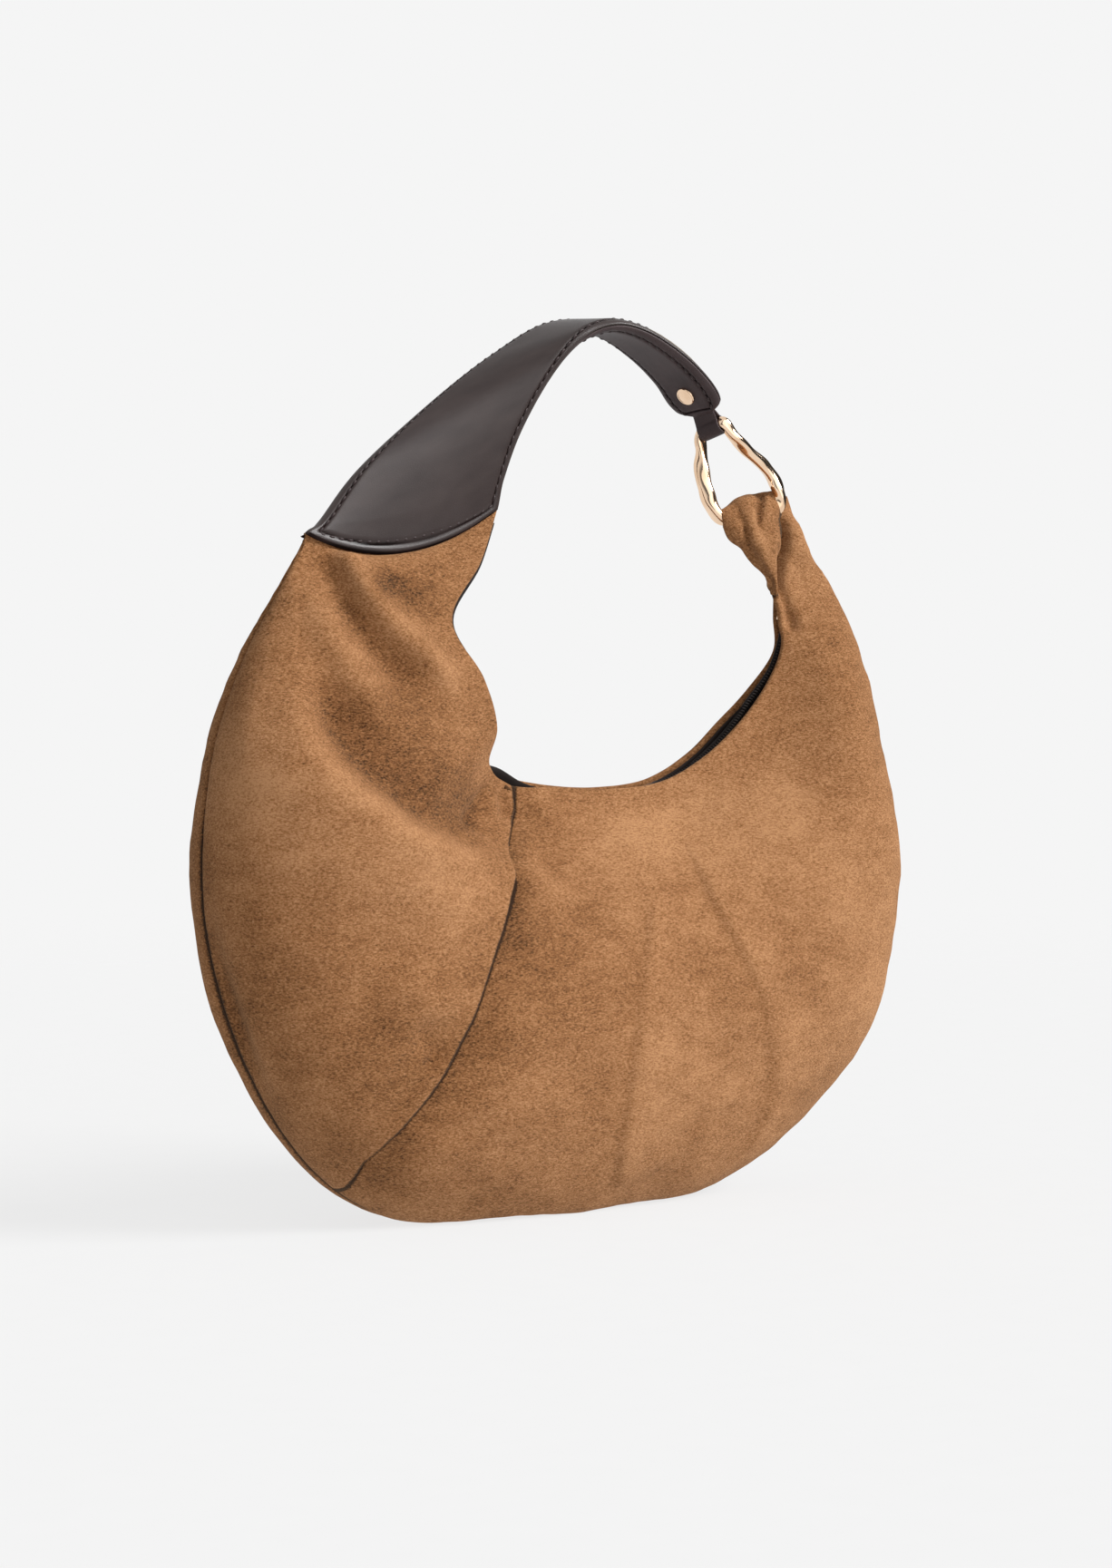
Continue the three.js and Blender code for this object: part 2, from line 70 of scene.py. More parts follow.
# ---------------------------------------------------------------- sizes, in millimetres
SUEDE = 1.3  # thickness of the suede that shows
SEAM_GAP = 0.3
LIP_HEM = {"radius": 1.5, "leg": 6.0, "shade": 0.1}
PLEAT_HEM = {"radius": 1.2, "leg": 3.0, "shade": 1.1}
FACING = {"depth": 3.9, "thick": 1.0, "band": 26.0}
LINING = {"depth": 5.2, "thick": 0.6, "start": 18.0}
POCKET = {"depth": 6.6, "thick": 0.6}
MOUTH_CENTRE = (24.0, 292.0)
COIL_RADIUS = 103.5
COIL_ENDS = (201.5, 347.5)
MOUTH_DIP = {"at": 238.0, "half": 26.0, "deep": 11.0}  # the zip dips at the lower left corner
RIGHT_END = {"range": (322, 338), "outwards": 3.5}  # and swings outwards at the right end
BAR = {"centre": (107.0, 0.0, 321.0), "tilt": math.radians(7.47)}
RING_WIRE = 3.0
STRAP = {"core": 1.7, "face": 3.3, "stitch": 4.0}
RIVET_STATION = 0.868


# ---------------------------------------------------------------- curves and small helpers
def smoothstep(a, b, x):
    """Rises from 0 at a to 1 at b."""
    t = np.clip((np.asarray(x, float) - a) / (b - a), 0, 1)
    return t * t * (3 - 2 * t)


def lerp(a, b, t):
    return a + (b - a) * t


def unit(vectors):
    return vectors / np.maximum(np.linalg.norm(vectors, axis=-1, keepdims=True), 1e-9)


def spline(points, closed=False):
    """A centripetal Catmull-Rom curve through the points, as a function of t from 0 to 1."""
    points = np.asarray(points, float)
    count = len(points)
    if closed:
        knots = np.vstack([points[-1:], points, points[:2]])
    else:
        knots = np.vstack([2 * points[:1] - points[1:2], points, 2 * points[-1:] - points[-2:-1]])
    spans = count if closed else count - 1

    def at(t):
        place = np.clip(np.asarray(t, float), 0, 1) * spans
        span = np.minimum(place.astype(int), spans - 1)
        f = (place - span)[..., None]
        p = [knots[span + k] for k in range(4)]
        gaps = [
            np.maximum(np.sum((p[k + 1] - p[k]) ** 2, axis=-1, keepdims=True) ** 0.25, 1e-3)
            for k in range(3)
        ]
        start = (p[1] - p[0]) / gaps[0] - (p[2] - p[0]) / (gaps[0] + gaps[1]) + (p[2] - p[1]) / gaps[1]
        end = (p[2] - p[1]) / gaps[1] - (p[3] - p[1]) / (gaps[1] + gaps[2]) + (p[3] - p[2]) / gaps[2]
        a, b = start * gaps[1], end * gaps[1]
        return p[1] + a * f + (3 * (p[2] - p[1]) - 2 * a - b) * f**2 + (2 * (p[1] - p[2]) + a + b) * f**3

    return at


def waves(x, z, seed, longest, shortest, count=14):
    """Smooth, seeded unevenness between -1 and 1, made of waves in many directions."""
    draw = np.random.default_rng(seed)
    total = np.zeros(np.broadcast(x, z).shape)
    for _ in range(count):
        turn, phase = draw.uniform(0, 2 * math.pi, 2)
        wavelength = draw.uniform(shortest, longest)
        total += np.sin(2 * math.pi * (x * math.cos(turn) + z * math.sin(turn)) / wavelength + phase)
    return total / math.sqrt(2 * count)


def normals(grid, side=None):
    """Unit normals of a grid of points. With a side, they point out of that half of the bag."""
    along, across = np.gradient(grid, axis=0), np.gradient(grid, axis=1)
    result = unit(np.cross(along, across))
    if side is not None and np.mean(result[..., 1]) * side < 0:
        result = -result
    return result


# ---------------------------------------------------------------- meshes
def add_mesh(name, points, faces, material, pattern=None, wear_and_painted_light=None):
    """A smooth-shaded mesh from points in millimetres. pattern is where its texture is laid out, and the
    per-point tone is wear and painted light: above 0 paler, from rubbing and painted light; below 0 darker,
    mostly painted shade."""
    mesh = bpy.data.meshes.new(name)
    mesh.from_pydata([tuple(p) for p in np.asarray(points) * MM], [], [tuple(f) for f in faces])
    mesh.polygons.foreach_set("use_smooth", [True] * len(mesh.polygons))
    laid = mesh.attributes.new("laid", "FLOAT_VECTOR", "POINT")
    laid.data.foreach_set("vector", np.asarray(points if pattern is None else pattern, np.float32).ravel())
    wear_and_light_layer = mesh.attributes.new("wear_and_painted_light", "FLOAT", "POINT")
    wear_and_light_layer.data.foreach_set("value", np.asarray(np.zeros(len(points)) if wear_and_painted_light is None else wear_and_painted_light, np.float32))
    mesh.materials.append(material)
    obj = bpy.data.objects.new(name, mesh)
    bpy.context.scene.collection.objects.link(obj)
    face_outwards(obj)
    return obj


def placed(piece, body=None, node_name=None):
    """Attaches a piece to its body and hides the CAD node that it stands for, where these are given."""
    if body:
        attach(piece, body)
    if node_name:
        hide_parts(node_name)
    return piece


def face_outwards(obj):
    """Turns a closed mesh's faces so that they point out."""
    mesh = obj.data
    mesh.calc_loop_triangles()
    corners = np.array([t.vertices for t in mesh.loop_triangles])
    co = np.array([v.co for v in mesh.vertices])
    a, b, c = co[corners[:, 0]], co[corners[:, 1]], co[corners[:, 2]]
    if np.einsum("ij,ij->", a, np.cross(b, c)) < 0:
        mesh.flip_normals()


def perimeter(nu, nv):
    """Indices of a grid's border, once round."""
    return (
        [(i, 0) for i in range(nu - 1)]
        + [(nu - 1, j) for j in range(nv - 1)]
        + [(i, nv - 1) for i in range(nu - 1, 0, -1)]
        + [(0, j) for j in range(nv - 1, 0, -1)]
    )


def shell(name, outer, inner, material, pattern=None, wear_and_painted_light=None, rim=3):
    """A closed sheet between two grids of points, with a rounded rim."""
    nu, nv = outer.shape[:2]
    at = np.arange(nu * nv).reshape(nu, nv)
    quads = np.stack([at[:-1, :-1], at[1:, :-1], at[1:, 1:], at[:-1, 1:]], -1).reshape(-1, 4)
    points = [outer.reshape(-1, 3), inner.reshape(-1, 3)]
    faces = [quads, quads[:, ::-1] + nu * nv]
    border = perimeter(nu, nv)
    rows, cols = np.array(border).T
    middle = (outer + inner) / 2
    inward = middle[np.clip(rows, 1, nu - 2), np.clip(cols, 1, nv - 2)]
    a, b = outer[rows, cols], inner[rows, cols]
    half = np.linalg.norm(a - b, axis=-1, keepdims=True) / 2
    out = unit(middle[rows, cols] - inward) * half
    rings = [at[rows, cols]]
    for k in range(1, rim + 1):
        turn = math.pi * k / (rim + 1)
        ring = (a + b) / 2 + (a - b) / 2 * math.cos(turn) + out * math.sin(turn)
        rings.append(np.arange(len(border)) + sum(len(p) for p in points))
        points.append(ring)
    rings.append(at[rows, cols] + nu * nv)
    for near, far in zip(rings, rings[1:]):
        faces.append(np.stack([near, np.roll(near, -1), np.roll(far, -1), far], -1)[:, ::-1])
    everything = np.concatenate(points)

    def spread(values, width):
        flat = values.reshape(nu * nv, width)
        edge = flat[at[rows, cols]]
        return np.concatenate([flat, flat] + [edge] * rim)

    if pattern is not None:
        pattern = spread(pattern, 3)
    if wear_and_painted_light is not None:
        wear_and_painted_light = spread(wear_and_painted_light, 1).ravel()
    return add_mesh(name, everything, np.concatenate(faces), material, pattern, wear_and_painted_light)


def frames_along(path, closed):
    """Two cross directions at each point of a path, turning as little as possible."""
    if closed:
        along = unit(np.roll(path, -1, axis=0) - np.roll(path, 1, axis=0))
    else:
        along = unit(np.gradient(path, axis=0))
    side = np.cross(along[0], (0.0, 0.0, 1.0) if abs(along[0][2]) < 0.9 else (1.0, 0.0, 0.0))
    sides = [side / np.linalg.norm(side)]
    for direction in along[1:]:
        nxt = sides[-1] - direction * np.dot(sides[-1], direction)
        sides.append(nxt / np.linalg.norm(nxt))
    sides = np.array(sides)
    if closed:
        last = sides[-1] - along[0] * np.dot(sides[-1], along[0])
        twist = math.atan2(np.dot(np.cross(last, sides[0]), along[0]), np.dot(last, sides[0]))
        turn = np.linspace(0, twist, len(path), endpoint=False)[:, None]
        sides = sides * np.cos(turn) + np.cross(along, sides) * np.sin(turn)
    return sides, np.cross(along, sides)


def tube(path, radius, sides=8, closed=False):
    """Points and faces of a round tube. radius is a number or an array over (path, round)."""
    path = np.asarray(path, float)
    n = len(path)
    first, second = frames_along(path, closed)
    turn = np.linspace(0, 2 * math.pi, sides, endpoint=False)
    radius = np.broadcast_to(radius, (n, sides))[..., None]
    ring = path[:, None] + radius * (
        first[:, None] * np.cos(turn)[None, :, None] + second[:, None] * np.sin(turn)[None, :, None]
    )
    at = np.arange(n * sides).reshape(n, sides)
    nxt = np.roll(at, -1, axis=0) if closed else at[1:]
    here = at if closed else at[:-1]
    quads = np.stack([here, nxt, np.roll(nxt, -1, axis=1), np.roll(here, -1, axis=1)], -1).reshape(-1, 4)
    faces = [tuple(q) for q in quads]
    points = ring.reshape(-1, 3)
    if not closed:
        faces += [tuple(at[0][::-1]), tuple(at[-1])]
    return points, faces


def merged(parts):
    """One list of points and faces from many."""
    points, faces, start = [], [], 0
    for part_points, part_faces in parts:
        points.append(part_points)
        faces += [tuple(i + start for i in face) for face in part_faces]
        start += len(part_points)
    return np.concatenate(points), faces


def stitched(name, path, up, material, length=3.2, gap=1.5, radius=0.6):
    """A row of sewn stitches along a path: each is a short thread that dives at both ends."""
    steps = np.linalg.norm(np.diff(path, axis=0), axis=1)
    distance = np.concatenate([[0], np.cumsum(steps)])
    parts = []
    for start in np.arange(gap, distance[-1] - length, length + gap):
        s = np.linspace(start, start + length, 7)
        line = np.stack([np.interp(s, distance, path[:, k]) for k in range(3)], -1)
        rise = np.stack([np.interp(s, distance, up[:, k]) for k in range(3)], -1)
        line = line + unit(rise) * (radius * (np.sin(np.linspace(0, math.pi, 7)) * 1.5 - 0.9))[:, None]
        fat = radius * np.array([0.5, 0.9, 1, 1, 1, 0.9, 0.5])[:, None]
        parts.append(tube(line, fat, 6))
    return add_mesh(name, *merged(parts), material)


# ---------------------------------------------------------------- materials
def new_material(name):
    material = bpy.data.materials.new(name)
    material.use_nodes = True
    tree = material.node_tree
    tree.nodes.clear()
    output = tree.nodes.new("ShaderNodeOutputMaterial")
    shader = tree.nodes.new("ShaderNodeBsdfPrincipled")
    tree.links.new(shader.outputs["BSDF"], output.inputs["Surface"])
    return material, tree, shader


def node(tree, kind, inputs=None, **settings):
    made = tree.nodes.new("ShaderNode" + kind)
    for key, value in settings.items():
        setattr(made, key, value)
    for key, value in (inputs or {}).items():
        connect(tree, value, made.inputs[key])
    return made


def connect(tree, value, socket):
    if isinstance(value, bpy.types.NodeSocket):
        tree.links.new(value, socket)
    else:
        socket.default_value = value


def dress(tree, shader, inputs):
    """Sets a shader's inputs, each to a value or to what another node gives."""
    for name, value in inputs.items():
        connect(tree, value, shader.inputs[name])


def maths(tree, operation, *values):
    return node(tree, "Math", dict(enumerate(values)), operation=operation).outputs[0]


def swing(tree, value, gain, middle):
    """A 0 to 1 pattern stretched by a gain and centred on another value."""
    return maths(tree, "MULTIPLY_ADD", maths(tree, "SUBTRACT", value, 0.5), gain, middle)


def attribute(tree, name, output):
    return node(tree, "Attribute", attribute_name=name).outputs[output]


def laid(tree, scale=(1, 1, 1), turn=(0, 0, 0)):
    """Millimetre coordinates that stay with the cloth, turned and stretched."""
    source = attribute(tree, "laid", "Vector")
    return node(tree, "Mapping", {"Vector": source, "Scale": scale, "Rotation": turn}).outputs["Vector"]


def noise(tree, vector, scale, detail=2.0, roughness=0.5):
    inputs = {"Vector": vector, "Scale": scale, "Detail": detail, "Roughness": roughness}
    return node(tree, "TexNoise", inputs).outputs["Fac"]


def ramp(tree, factor, *stops):
    made = node(tree, "ValToRGB", {"Fac": factor})
    elements = made.color_ramp.elements
    while len(elements) < len(stops):
        elements.new(0.5)
    for element, (place, colour) in zip(elements, stops):
        element.position = place
        element.color = (*colour, 1)
    return made.outputs["Color"]


def bump(tree, height, distance, strength=1.0, under=None):
    inputs = {"Height": height, "Distance": distance * MM, "Strength": strength}
    if under is not None:
        inputs["Normal"] = under
    return node(tree, "Bump", inputs).outputs["Normal"]


def suede_material():
    """Brushed faux suede: a short speckled nap, soft patches where it is stroked, and a per-point tone: paler
    on folds, partly rubbed and partly painted light, with painted shade in creases and seams.
    """
    material, tree, shader = new_material("suede")
    patches = noise(tree, laid(tree), 0.05, 2, 0.5)
    strokes = noise(tree, laid(tree, (0.5, 0.5, 1.3), (0, 0.7, 0)), 0.13, 4, 0.7)
    nap = noise(tree, laid(tree, (0.6, 0.8, 1.3), (0, 0.75, 0)), 1.05, 4, 0.85)
    wear_and_painted_light = attribute(tree, "wear_and_painted_light", "Fac")
    tone = swing(tree, patches, 0.4, 0.5)
    tone = swing(tree, strokes, 0.45, tone)
    tone = swing(tree, nap, 2.6, tone)
    # painted light and shade from the per-point tone, with the ridges partly rubbed wear
    tone = maths(tree, "MULTIPLY_ADD", wear_and_painted_light, 0.45, tone)
    colour = ramp(
        tree, tone,
        (0.0, (0.018, 0.007, 0.004)),
        (0.12, (0.112, 0.041, 0.012)),
        (0.42, (0.252, 0.107, 0.038)),
        (0.62, (0.352, 0.160, 0.066)),
        (0.92, (0.500, 0.256, 0.118)),
    )
    dress(tree, shader, {
        "Base Color": colour,
        "Roughness": 0.95,
        "Specular IOR Level": 0.08,
        "Sheen Weight": 0.22,
        "Sheen Roughness": 0.55,
        "Sheen Tint": (1.0, 0.68, 0.42, 1),
        "Normal": bump(tree, nap, 0.9, 1.0, bump(tree, strokes, 0.5, 0.3)),
    })
    return material


def leather_material(name, dark, mid, roughness, specular=0.4):
    """Finished leather with a fine pebbled grain, a little uneven in gloss, scuffed along its edges; the
    per-point tone also carries painted shade, which darkens it and dulls its gloss.
    """
    material, tree, shader = new_material(name)
    cells = node(
        tree, "TexVoronoi", {"Vector": laid(tree, (1, 1, 1)), "Scale": 1.25, "Randomness": 1.0},
        feature="DISTANCE_TO_EDGE",
    ).outputs["Distance"]
    pores = noise(tree, laid(tree), 2.6, 3, 0.6)
    cloud = noise(tree, laid(tree), 0.07, 2, 0.5)
    wear_and_painted_light = attribute(tree, "wear_and_painted_light", "Fac")
    # the per-point tone adds the scuffs and the painted shade, and also sets the gloss below
    tone = maths(tree, "ADD", swing(tree, pores, 0.35, cloud), wear_and_painted_light)
    deep, scuffed = (tuple(share * c for c in colour) for share, colour in ((0.3, dark), (1.7, mid)))
    shine = node(
        tree, "Math", {0: wear_and_painted_light, 1: 2 * specular, 2: specular}, operation="MULTIPLY_ADD", use_clamp=True
    )
    pebbles = bump(tree, cells, 0.05, 0.55)
    dress(tree, shader, {
        "Base Color": ramp(tree, tone, (0.0, deep), (0.3, dark), (0.75, mid), (1.0, scuffed)),
        "Roughness": swing(tree, cloud, 0.05, roughness),
        "Specular IOR Level": shine.outputs[0],
        "Normal": bump(tree, pores, 0.10, 0.5, pebbles),
    })
    return material


def gold_material():
    """Pale gold plating, polished, with faint wavering brightness and hairline scratches."""
    material, tree, shader = new_material("gold")
    place = node(tree, "TexCoord").outputs["Object"]
    cloud = noise(tree, place, 90.0, 2, 0.5)
    hair = node(tree, "Mapping", {"Vector": place, "Scale": (400, 60, 2600), "Rotation": (0.3, 0.5, 0.2)})
    scratch = noise(tree, hair.outputs["Vector"], 1.0, 2, 0.5)
    dress(tree, shader, {
        "Base Color": ramp(tree, cloud, (0.3, (0.86, 0.60, 0.40)), (0.7, (0.95, 0.73, 0.54))),
        "Metallic": 1.0,
        "Roughness": maths(tree, "MULTIPLY_ADD", scratch, 0.08, 0.09),
        "Normal": bump(tree, scratch, 0.01, 0.3),
    })
    return material


def woven_material(name, dark, pale, pitch):
    """Plain weave laid out along the piece: threads over and under each other, uneven in colour."""
    material, tree, shader = new_material(name)
    source = attribute(tree, "laid", "Vector")
    place = node(tree, "SeparateXYZ", {"Vector": source})
    warp, weft = (
        maths(tree, "SINE", maths(tree, "MULTIPLY", place.outputs[axis], math.pi / pitch)) for axis in "XY"
    )
    over = maths(tree, "MULTIPLY_ADD", maths(tree, "MULTIPLY", warp, weft), 0.5, 0.5)
    fibre = noise(tree, source, 3.0, 3, 0.6)
    cloud = noise(tree, source, 0.08, 2, 0.5)
    threads = maths(tree, "MULTIPLY_ADD", fibre, 0.4, maths(tree, "MULTIPLY", over, 0.6))
    dress(tree, shader, {
        "Base Color": ramp(tree, swing(tree, cloud, 0.5, threads), (0.2, dark), (0.85, pale)),
        "Roughness": 0.85,
        "Sheen Weight": 0.2,
        "Sheen Roughness": 0.5,
        "Normal": bump(tree, maths(tree, "MULTIPLY_ADD", fibre, 0.3, over), 0.15, 0.7),
    })
    return material


def thread_material(name, dark, pale, roughness=0.55):
    """Twisted thread or nylon: fine ridges along it, a little uneven in colour."""
    material, tree, shader = new_material(name)
    place = node(tree, "TexCoord").outputs["Object"]
    ply = noise(tree, place, 2500.0, 2, 0.5)
    cloud = noise(tree, place, 300.0, 2, 0.5)
    tone = maths(tree, "MULTIPLY_ADD", ply, 0.5, maths(tree, "MULTIPLY", cloud, 0.5))
    dress(tree, shader, {
        "Base Color": ramp(tree, tone, (0.25, dark), (0.75, pale)),
        "Roughness": roughness,
        "Normal": bump(tree, ply, 0.1, 0.5),
    })
    return material


SUEDE_LOOK = suede_material()
LEATHER_LOOK = leather_material("leather", (0.040, 0.027, 0.028), (0.060, 0.041, 0.042), 0.52, 0.22)
UNDER_LOOK = leather_material("leather_underside", (0.024, 0.015, 0.014), (0.037, 0.025, 0.023), 0.36)
FACING_LOOK = leather_material("leather_facing", (0.012, 0.008, 0.007), (0.022, 0.015, 0.013), 0.65, 0.12)
GOLD_LOOK = gold_material()
LINING_LOOK = woven_material("lining", (0.05, 0.033, 0.024), (0.12, 0.085, 0.062), 0.45)
TAPE_LOOK = woven_material("zip_tape", (0.010, 0.007, 0.006), (0.03, 0.022, 0.019), 0.6)
COIL_LOOK = thread_material("zip_coil", (0.02, 0.014, 0.012), (0.06, 0.045, 0.038), 0.35)
THREAD_LOOK = thread_material("thread", (0.010, 0.003, 0.003), (0.026, 0.009, 0.009))
FILLER_LOOK = woven_material("filler", (0.12, 0.095, 0.07), (0.3, 0.25, 0.19), 0.8)

# ---------------------------------------------------------------- the bag's shape
# One row a rib: the front lip, the back lip and the outer seam, each with its x and z.
# A lip's third number is how far it stands out from the seam's plane, the seam's is the belly's half depth.
RIBS = [
    ((-37.5, 320.5, 1.7), (-38.5, 320.5, 1.7), (-136, 307, 1.7)),
    ((-50, 297, 8), (-52, 297, 6), (-152, 281, 11)),
    ((-70, 270, 16), (-71, 270, 8.5), (-169, 252.5, 20)),
    ((-56.5, 244, 22), (-63, 243.5, 9.3), (-184.5, 208, 33)),
    ((-49.5, 222, 22), (-53, 224, 9.3), (-188, 140, 43)),
    ((-50, 206, 16), (-44.5, 208.5, 9.3), (-165.8, 70, 46)),
    ((-36, 196.3, 10), (-30, 200.3, 9.3), (-125.5, 18, 49)),
    ((-8, 194.5, 9.3), (-8, 195.3, 9.3), (-63, -9, 51)),
    ((20.5, 193.2, 9.3), (20.5, 193.2, 9.3), (0, -9, 52)),
    ((50, 196, 9.3), (50, 196, 9.3), (58, -3, 50)),
    ((73.5, 207, 9.3), (73.5, 207.3, 9.3), (113.5, 19, 46)),
    ((92.5, 221.5, 9.3), (92.5, 222.5, 9.3), (163.7, 62.5, 42)),
    ((107.3, 237.3, 9.3), (110, 238, 8.5), (185, 125, 37)),
    ((118, 256, 9), (125, 256.5, 8), (180, 196, 28)),
    ((119, 270, 8.5), (124.9, 271, 8), (169.5, 252, 16.5)),
    ((116.5, 285, 7), (123.4, 285.5, 6), (152, 288, 8)),
    ((108, 301, 5), (112, 301, 4), (136.5, 307, 6)),
    ((113, 317, 1), (114, 317, 1), (127, 329.5, 2)),
]
LAST = len(RIBS) - 1
LEAF_SAG = 13.5
front_lip, back_lip, seam_line = (spline(column) for column in zip(*RIBS))
LIPS = {FRONT: front_lip, BACK: back_lip}
# How far the pleat's edge is from its rib, in ribs, at places from the lip to the outer seam.
PLEAT_RIB = 6
PLEAT_WANDER = (
    (0, 0.05, 0.11, 0.17, 0.2, 0.25, 0.35, 0.5, 0.6, 0.68, 0.75, 0.82, 0.92, 1),
    (0.03, 0.18, 0.15, 0.08, 0.19, 0.15, 0.11, 0.11, 0.08, 0.02, -0.04, -0.07, 0.0, 0.0),
)
WIDEST = 0.55  # share of the way from the lip to the seam where the belly is deepest


def pleat(v):
    return PLEAT_RIB + np.interp(v, *PLEAT_WANDER)


def face(side, u, v):
    """A smooth half of the bag, before its folds."""
    lip = LIPS[side](u / LAST)
    seam = seam_line(u / LAST)
    deep = np.maximum(seam[..., 2], lip[..., 2])
    across = np.clip(v / 0.5, -0.2, 1)
    rise = np.maximum(across, 0)
    turn = np.clip((v - 0.5) / 0.5, 0, 1) * math.pi / 2
    t = np.where(v < 0.5, WIDEST * across, WIDEST + (1 - WIDEST) * np.sin(turn))
    upper = lip[..., 2] + (deep - lip[..., 2]) * np.sin(math.pi / 2 * rise) ** 1.25
    lower = SEAM_GAP + (deep - SEAM_GAP) * np.cos(turn)
    x = lerp(lip[..., 0], seam[..., 0], t)
    z = lerp(lip[..., 1], seam[..., 1], t)
    z = z - LEAF_SAG * 4 * t * (1 - t) * np.clip(1 - u, 0, 1) ** 2
    rest = 1.6
    z = np.where(z > 12, z, rest * np.log1p(np.exp(np.minimum(z, 12) / rest)))
    return np.stack([x, side * np.where(v < 0.5, upper, lower), z], -1)


# Pairs of points on the strap's back edge and front edge, and the sag between them, from foot to tip.
STRAP_EDGES = [
    ((-136.5, 0, 308), (-38, 0, 321), 13.5),
    ((-130, 1, 312), (-35, -2, 334), 4),
    ((-109, 4, 335), (-28, -6, 356), 0),
    ((-74, 8, 362), (-12, -11, 384), 0),
    ((-35, 12, 388), (5, -14, 401), 0),
    ((-2, 15, 405), (19, -16, 405.5), 0),
    ((25, 16, 405.5), (33, -16.5, 403.5), 0),
    ((47, 16, 395), (49, -16.5, 396.5), 0),
    ((62, 15.3, 382.5), (64.5, -16, 386.5), 0),
    ((69, 13, 372), (75.5, -14.5, 376.5), 0),
    ((75, 8.5, 365.5), (82, -9.5, 369.5), 0),
]
back_edge = spline([row[0] for row in STRAP_EDGES])
front_edge = spline([row[1] for row in STRAP_EDGES])
strap_sag = spline([(k, row[2]) for k, row in enumerate(STRAP_EDGES)])


def strap_point(s, w):
    s, w = np.broadcast_arrays(s, w)
    point = lerp(back_edge(s), front_edge(s), w[..., None])
    point[..., 2] -= strap_sag(s)[..., 1] * 4 * w * (1 - w)
    return point


def strap_normal(s, w):
    """Points out of the strap's outer side."""
    along = strap_point(np.minimum(s + 0.01, 1), w) - strap_point(np.maximum(s - 0.01, 0), w)
    across = front_edge(s) - back_edge(s)
    return -unit(np.cross(across, along))


def from_line(x, z, points):
    """Distance from a line, above 0 to its right, and the share of the way along it."""
    line = spline(points)(np.linspace(0, 1, 8 * len(points)))
    nearest = np.full(x.shape, 1e9)
    signed, share = np.zeros(x.shape), np.zeros(x.shape)
    for k, (a, b) in enumerate(zip(line, line[1:])):
        step = b - a
        along = np.clip(((x - a[0]) * step[0] + (z - a[1]) * step[1]) / (step @ step), 0, 1)
        dx, dz = x - a[0] - along * step[0], z - a[1] - along * step[1]
        distance = np.hypot(dx, dz)
        closer = distance < nearest
        nearest = np.where(closer, distance, nearest)
        side = np.sign(step[1] * dx - step[0] * dz)
        signed = np.where(closer, distance * side, signed)
        share = np.where(closer, (k + along) / (len(line) - 1), share)
    return signed, share


def crease(x, z, points, height, left, right, ends=(0, 0), spread=0.0):
    """A fold along a line: above 0 a ridge, below 0 a valley. left and right are its widths on each side."""
    distance, share = from_line(x, z, points)
    width = np.where(distance > 0, right, left) * (1 + spread * share)
    fade = lerp(ends[0], 1, smoothstep(0, 0.3, share)) * lerp(ends[1], 1, smoothstep(1, 0.7, share))
    return height * fade * np.exp(-((distance / width) ** 2))


def pressed(x, z, points, height, ramp_width, drop):
    """A pressed pleat: the cloth rises towards the line from its left and drops at it."""
    distance, share = from_line(x, z, points)
    rise = np.exp(-((distance / ramp_width) ** 2)) * smoothstep(drop, 0, distance)
    return height * rise * smoothstep(0, 0.15, share) * smoothstep(1, 0.9, share)


# Folds: the line's points, the height (above 0 a ridge), the widths left and right of the line,
# how much of the height is left at its two ends, and how much wider it gets on the way.
DRAPE_FOLDS = [
    # the crisp valley under the leaf and the ridges beside it
    ([(-127, 300), (-124, 282), (-117, 264), (-104, 249), (-91, 236)], -4.9, 5.5, 11, (0.8, 0.1), 0.3),
    ([(-121, 300), (-113, 281), (-105, 270), (-93, 259), (-81, 246), (-71, 235)], 6.5, 9, 6, (0.7, 0.1), 0.2),
    ([(-139, 292), (-134, 270), (-127, 253), (-119, 239), (-107, 224)], 5.0, 13, 10, (0.3, 0.1)),
    # the broad valley and the long ridge that ends at the pleat
    ([(-142, 258), (-140, 238), (-134, 222), (-123, 208), (-110, 197), (-96, 188), (-78, 181)],
     -8.3, 22, 9, (0.1, 0.6)),
    ([(-152, 247), (-156, 228), (-154, 212), (-146, 199), (-131, 186), (-112, 175), (-84, 164), (-52, 157)],
     9.0, 10, 34, (0.2, 0.7)),
    # small creases by the lip's corner and near the seam
    ([(-46, 199), (-59, 187), (-68, 178)], -3.6, 6, 4, (0.3, 0.1)),
    ([(-41, 192), (-40, 184)], -3.0, 4, 4, (1, 1)),
    ([(-110, 96), (-100, 84), (-97, 72)], -2.2, 8, 6),
    ([(-122, 120), (-104, 104), (-92, 92)], 1.8, 12, 14),
]
# Where the wrap's sewn edge lies against the main panel.
NECK_LINE = [(118.5, 328), (121.5, 318), (122.5, 308), (119.5, 299), (117.5, 290), (117, 282)]
MAIN_FOLDS = [
    ([(-28, 190), (-22, 170), (-26, 148)], -2.0, 8, 10),
    ([(-44, 156), (-30, 150), (-18, 138)], 2.0, 10, 10, (1, 0)),
    (NECK_LINE, -5.5, 3.0, 2.6, (0.8, 0.3)),
    ([(119, 286), (122, 274), (124, 262)], -2.2, 3, 4, (0.6, 0)),
    ([(131, 322), (133, 310), (134, 296)], 2.5, 6, 6),
]
BACK_FOLDS = [
    ([(-120, 292), (-110, 262), (-88, 236)], -4, 9, 12, (0.5, 0)),
    ([(-146, 262), (-140, 222), (-108, 192)], -4, 14, 16),
    ([(60, 176), (82, 120), (92, 60)], 1.6, 22, 12),
]
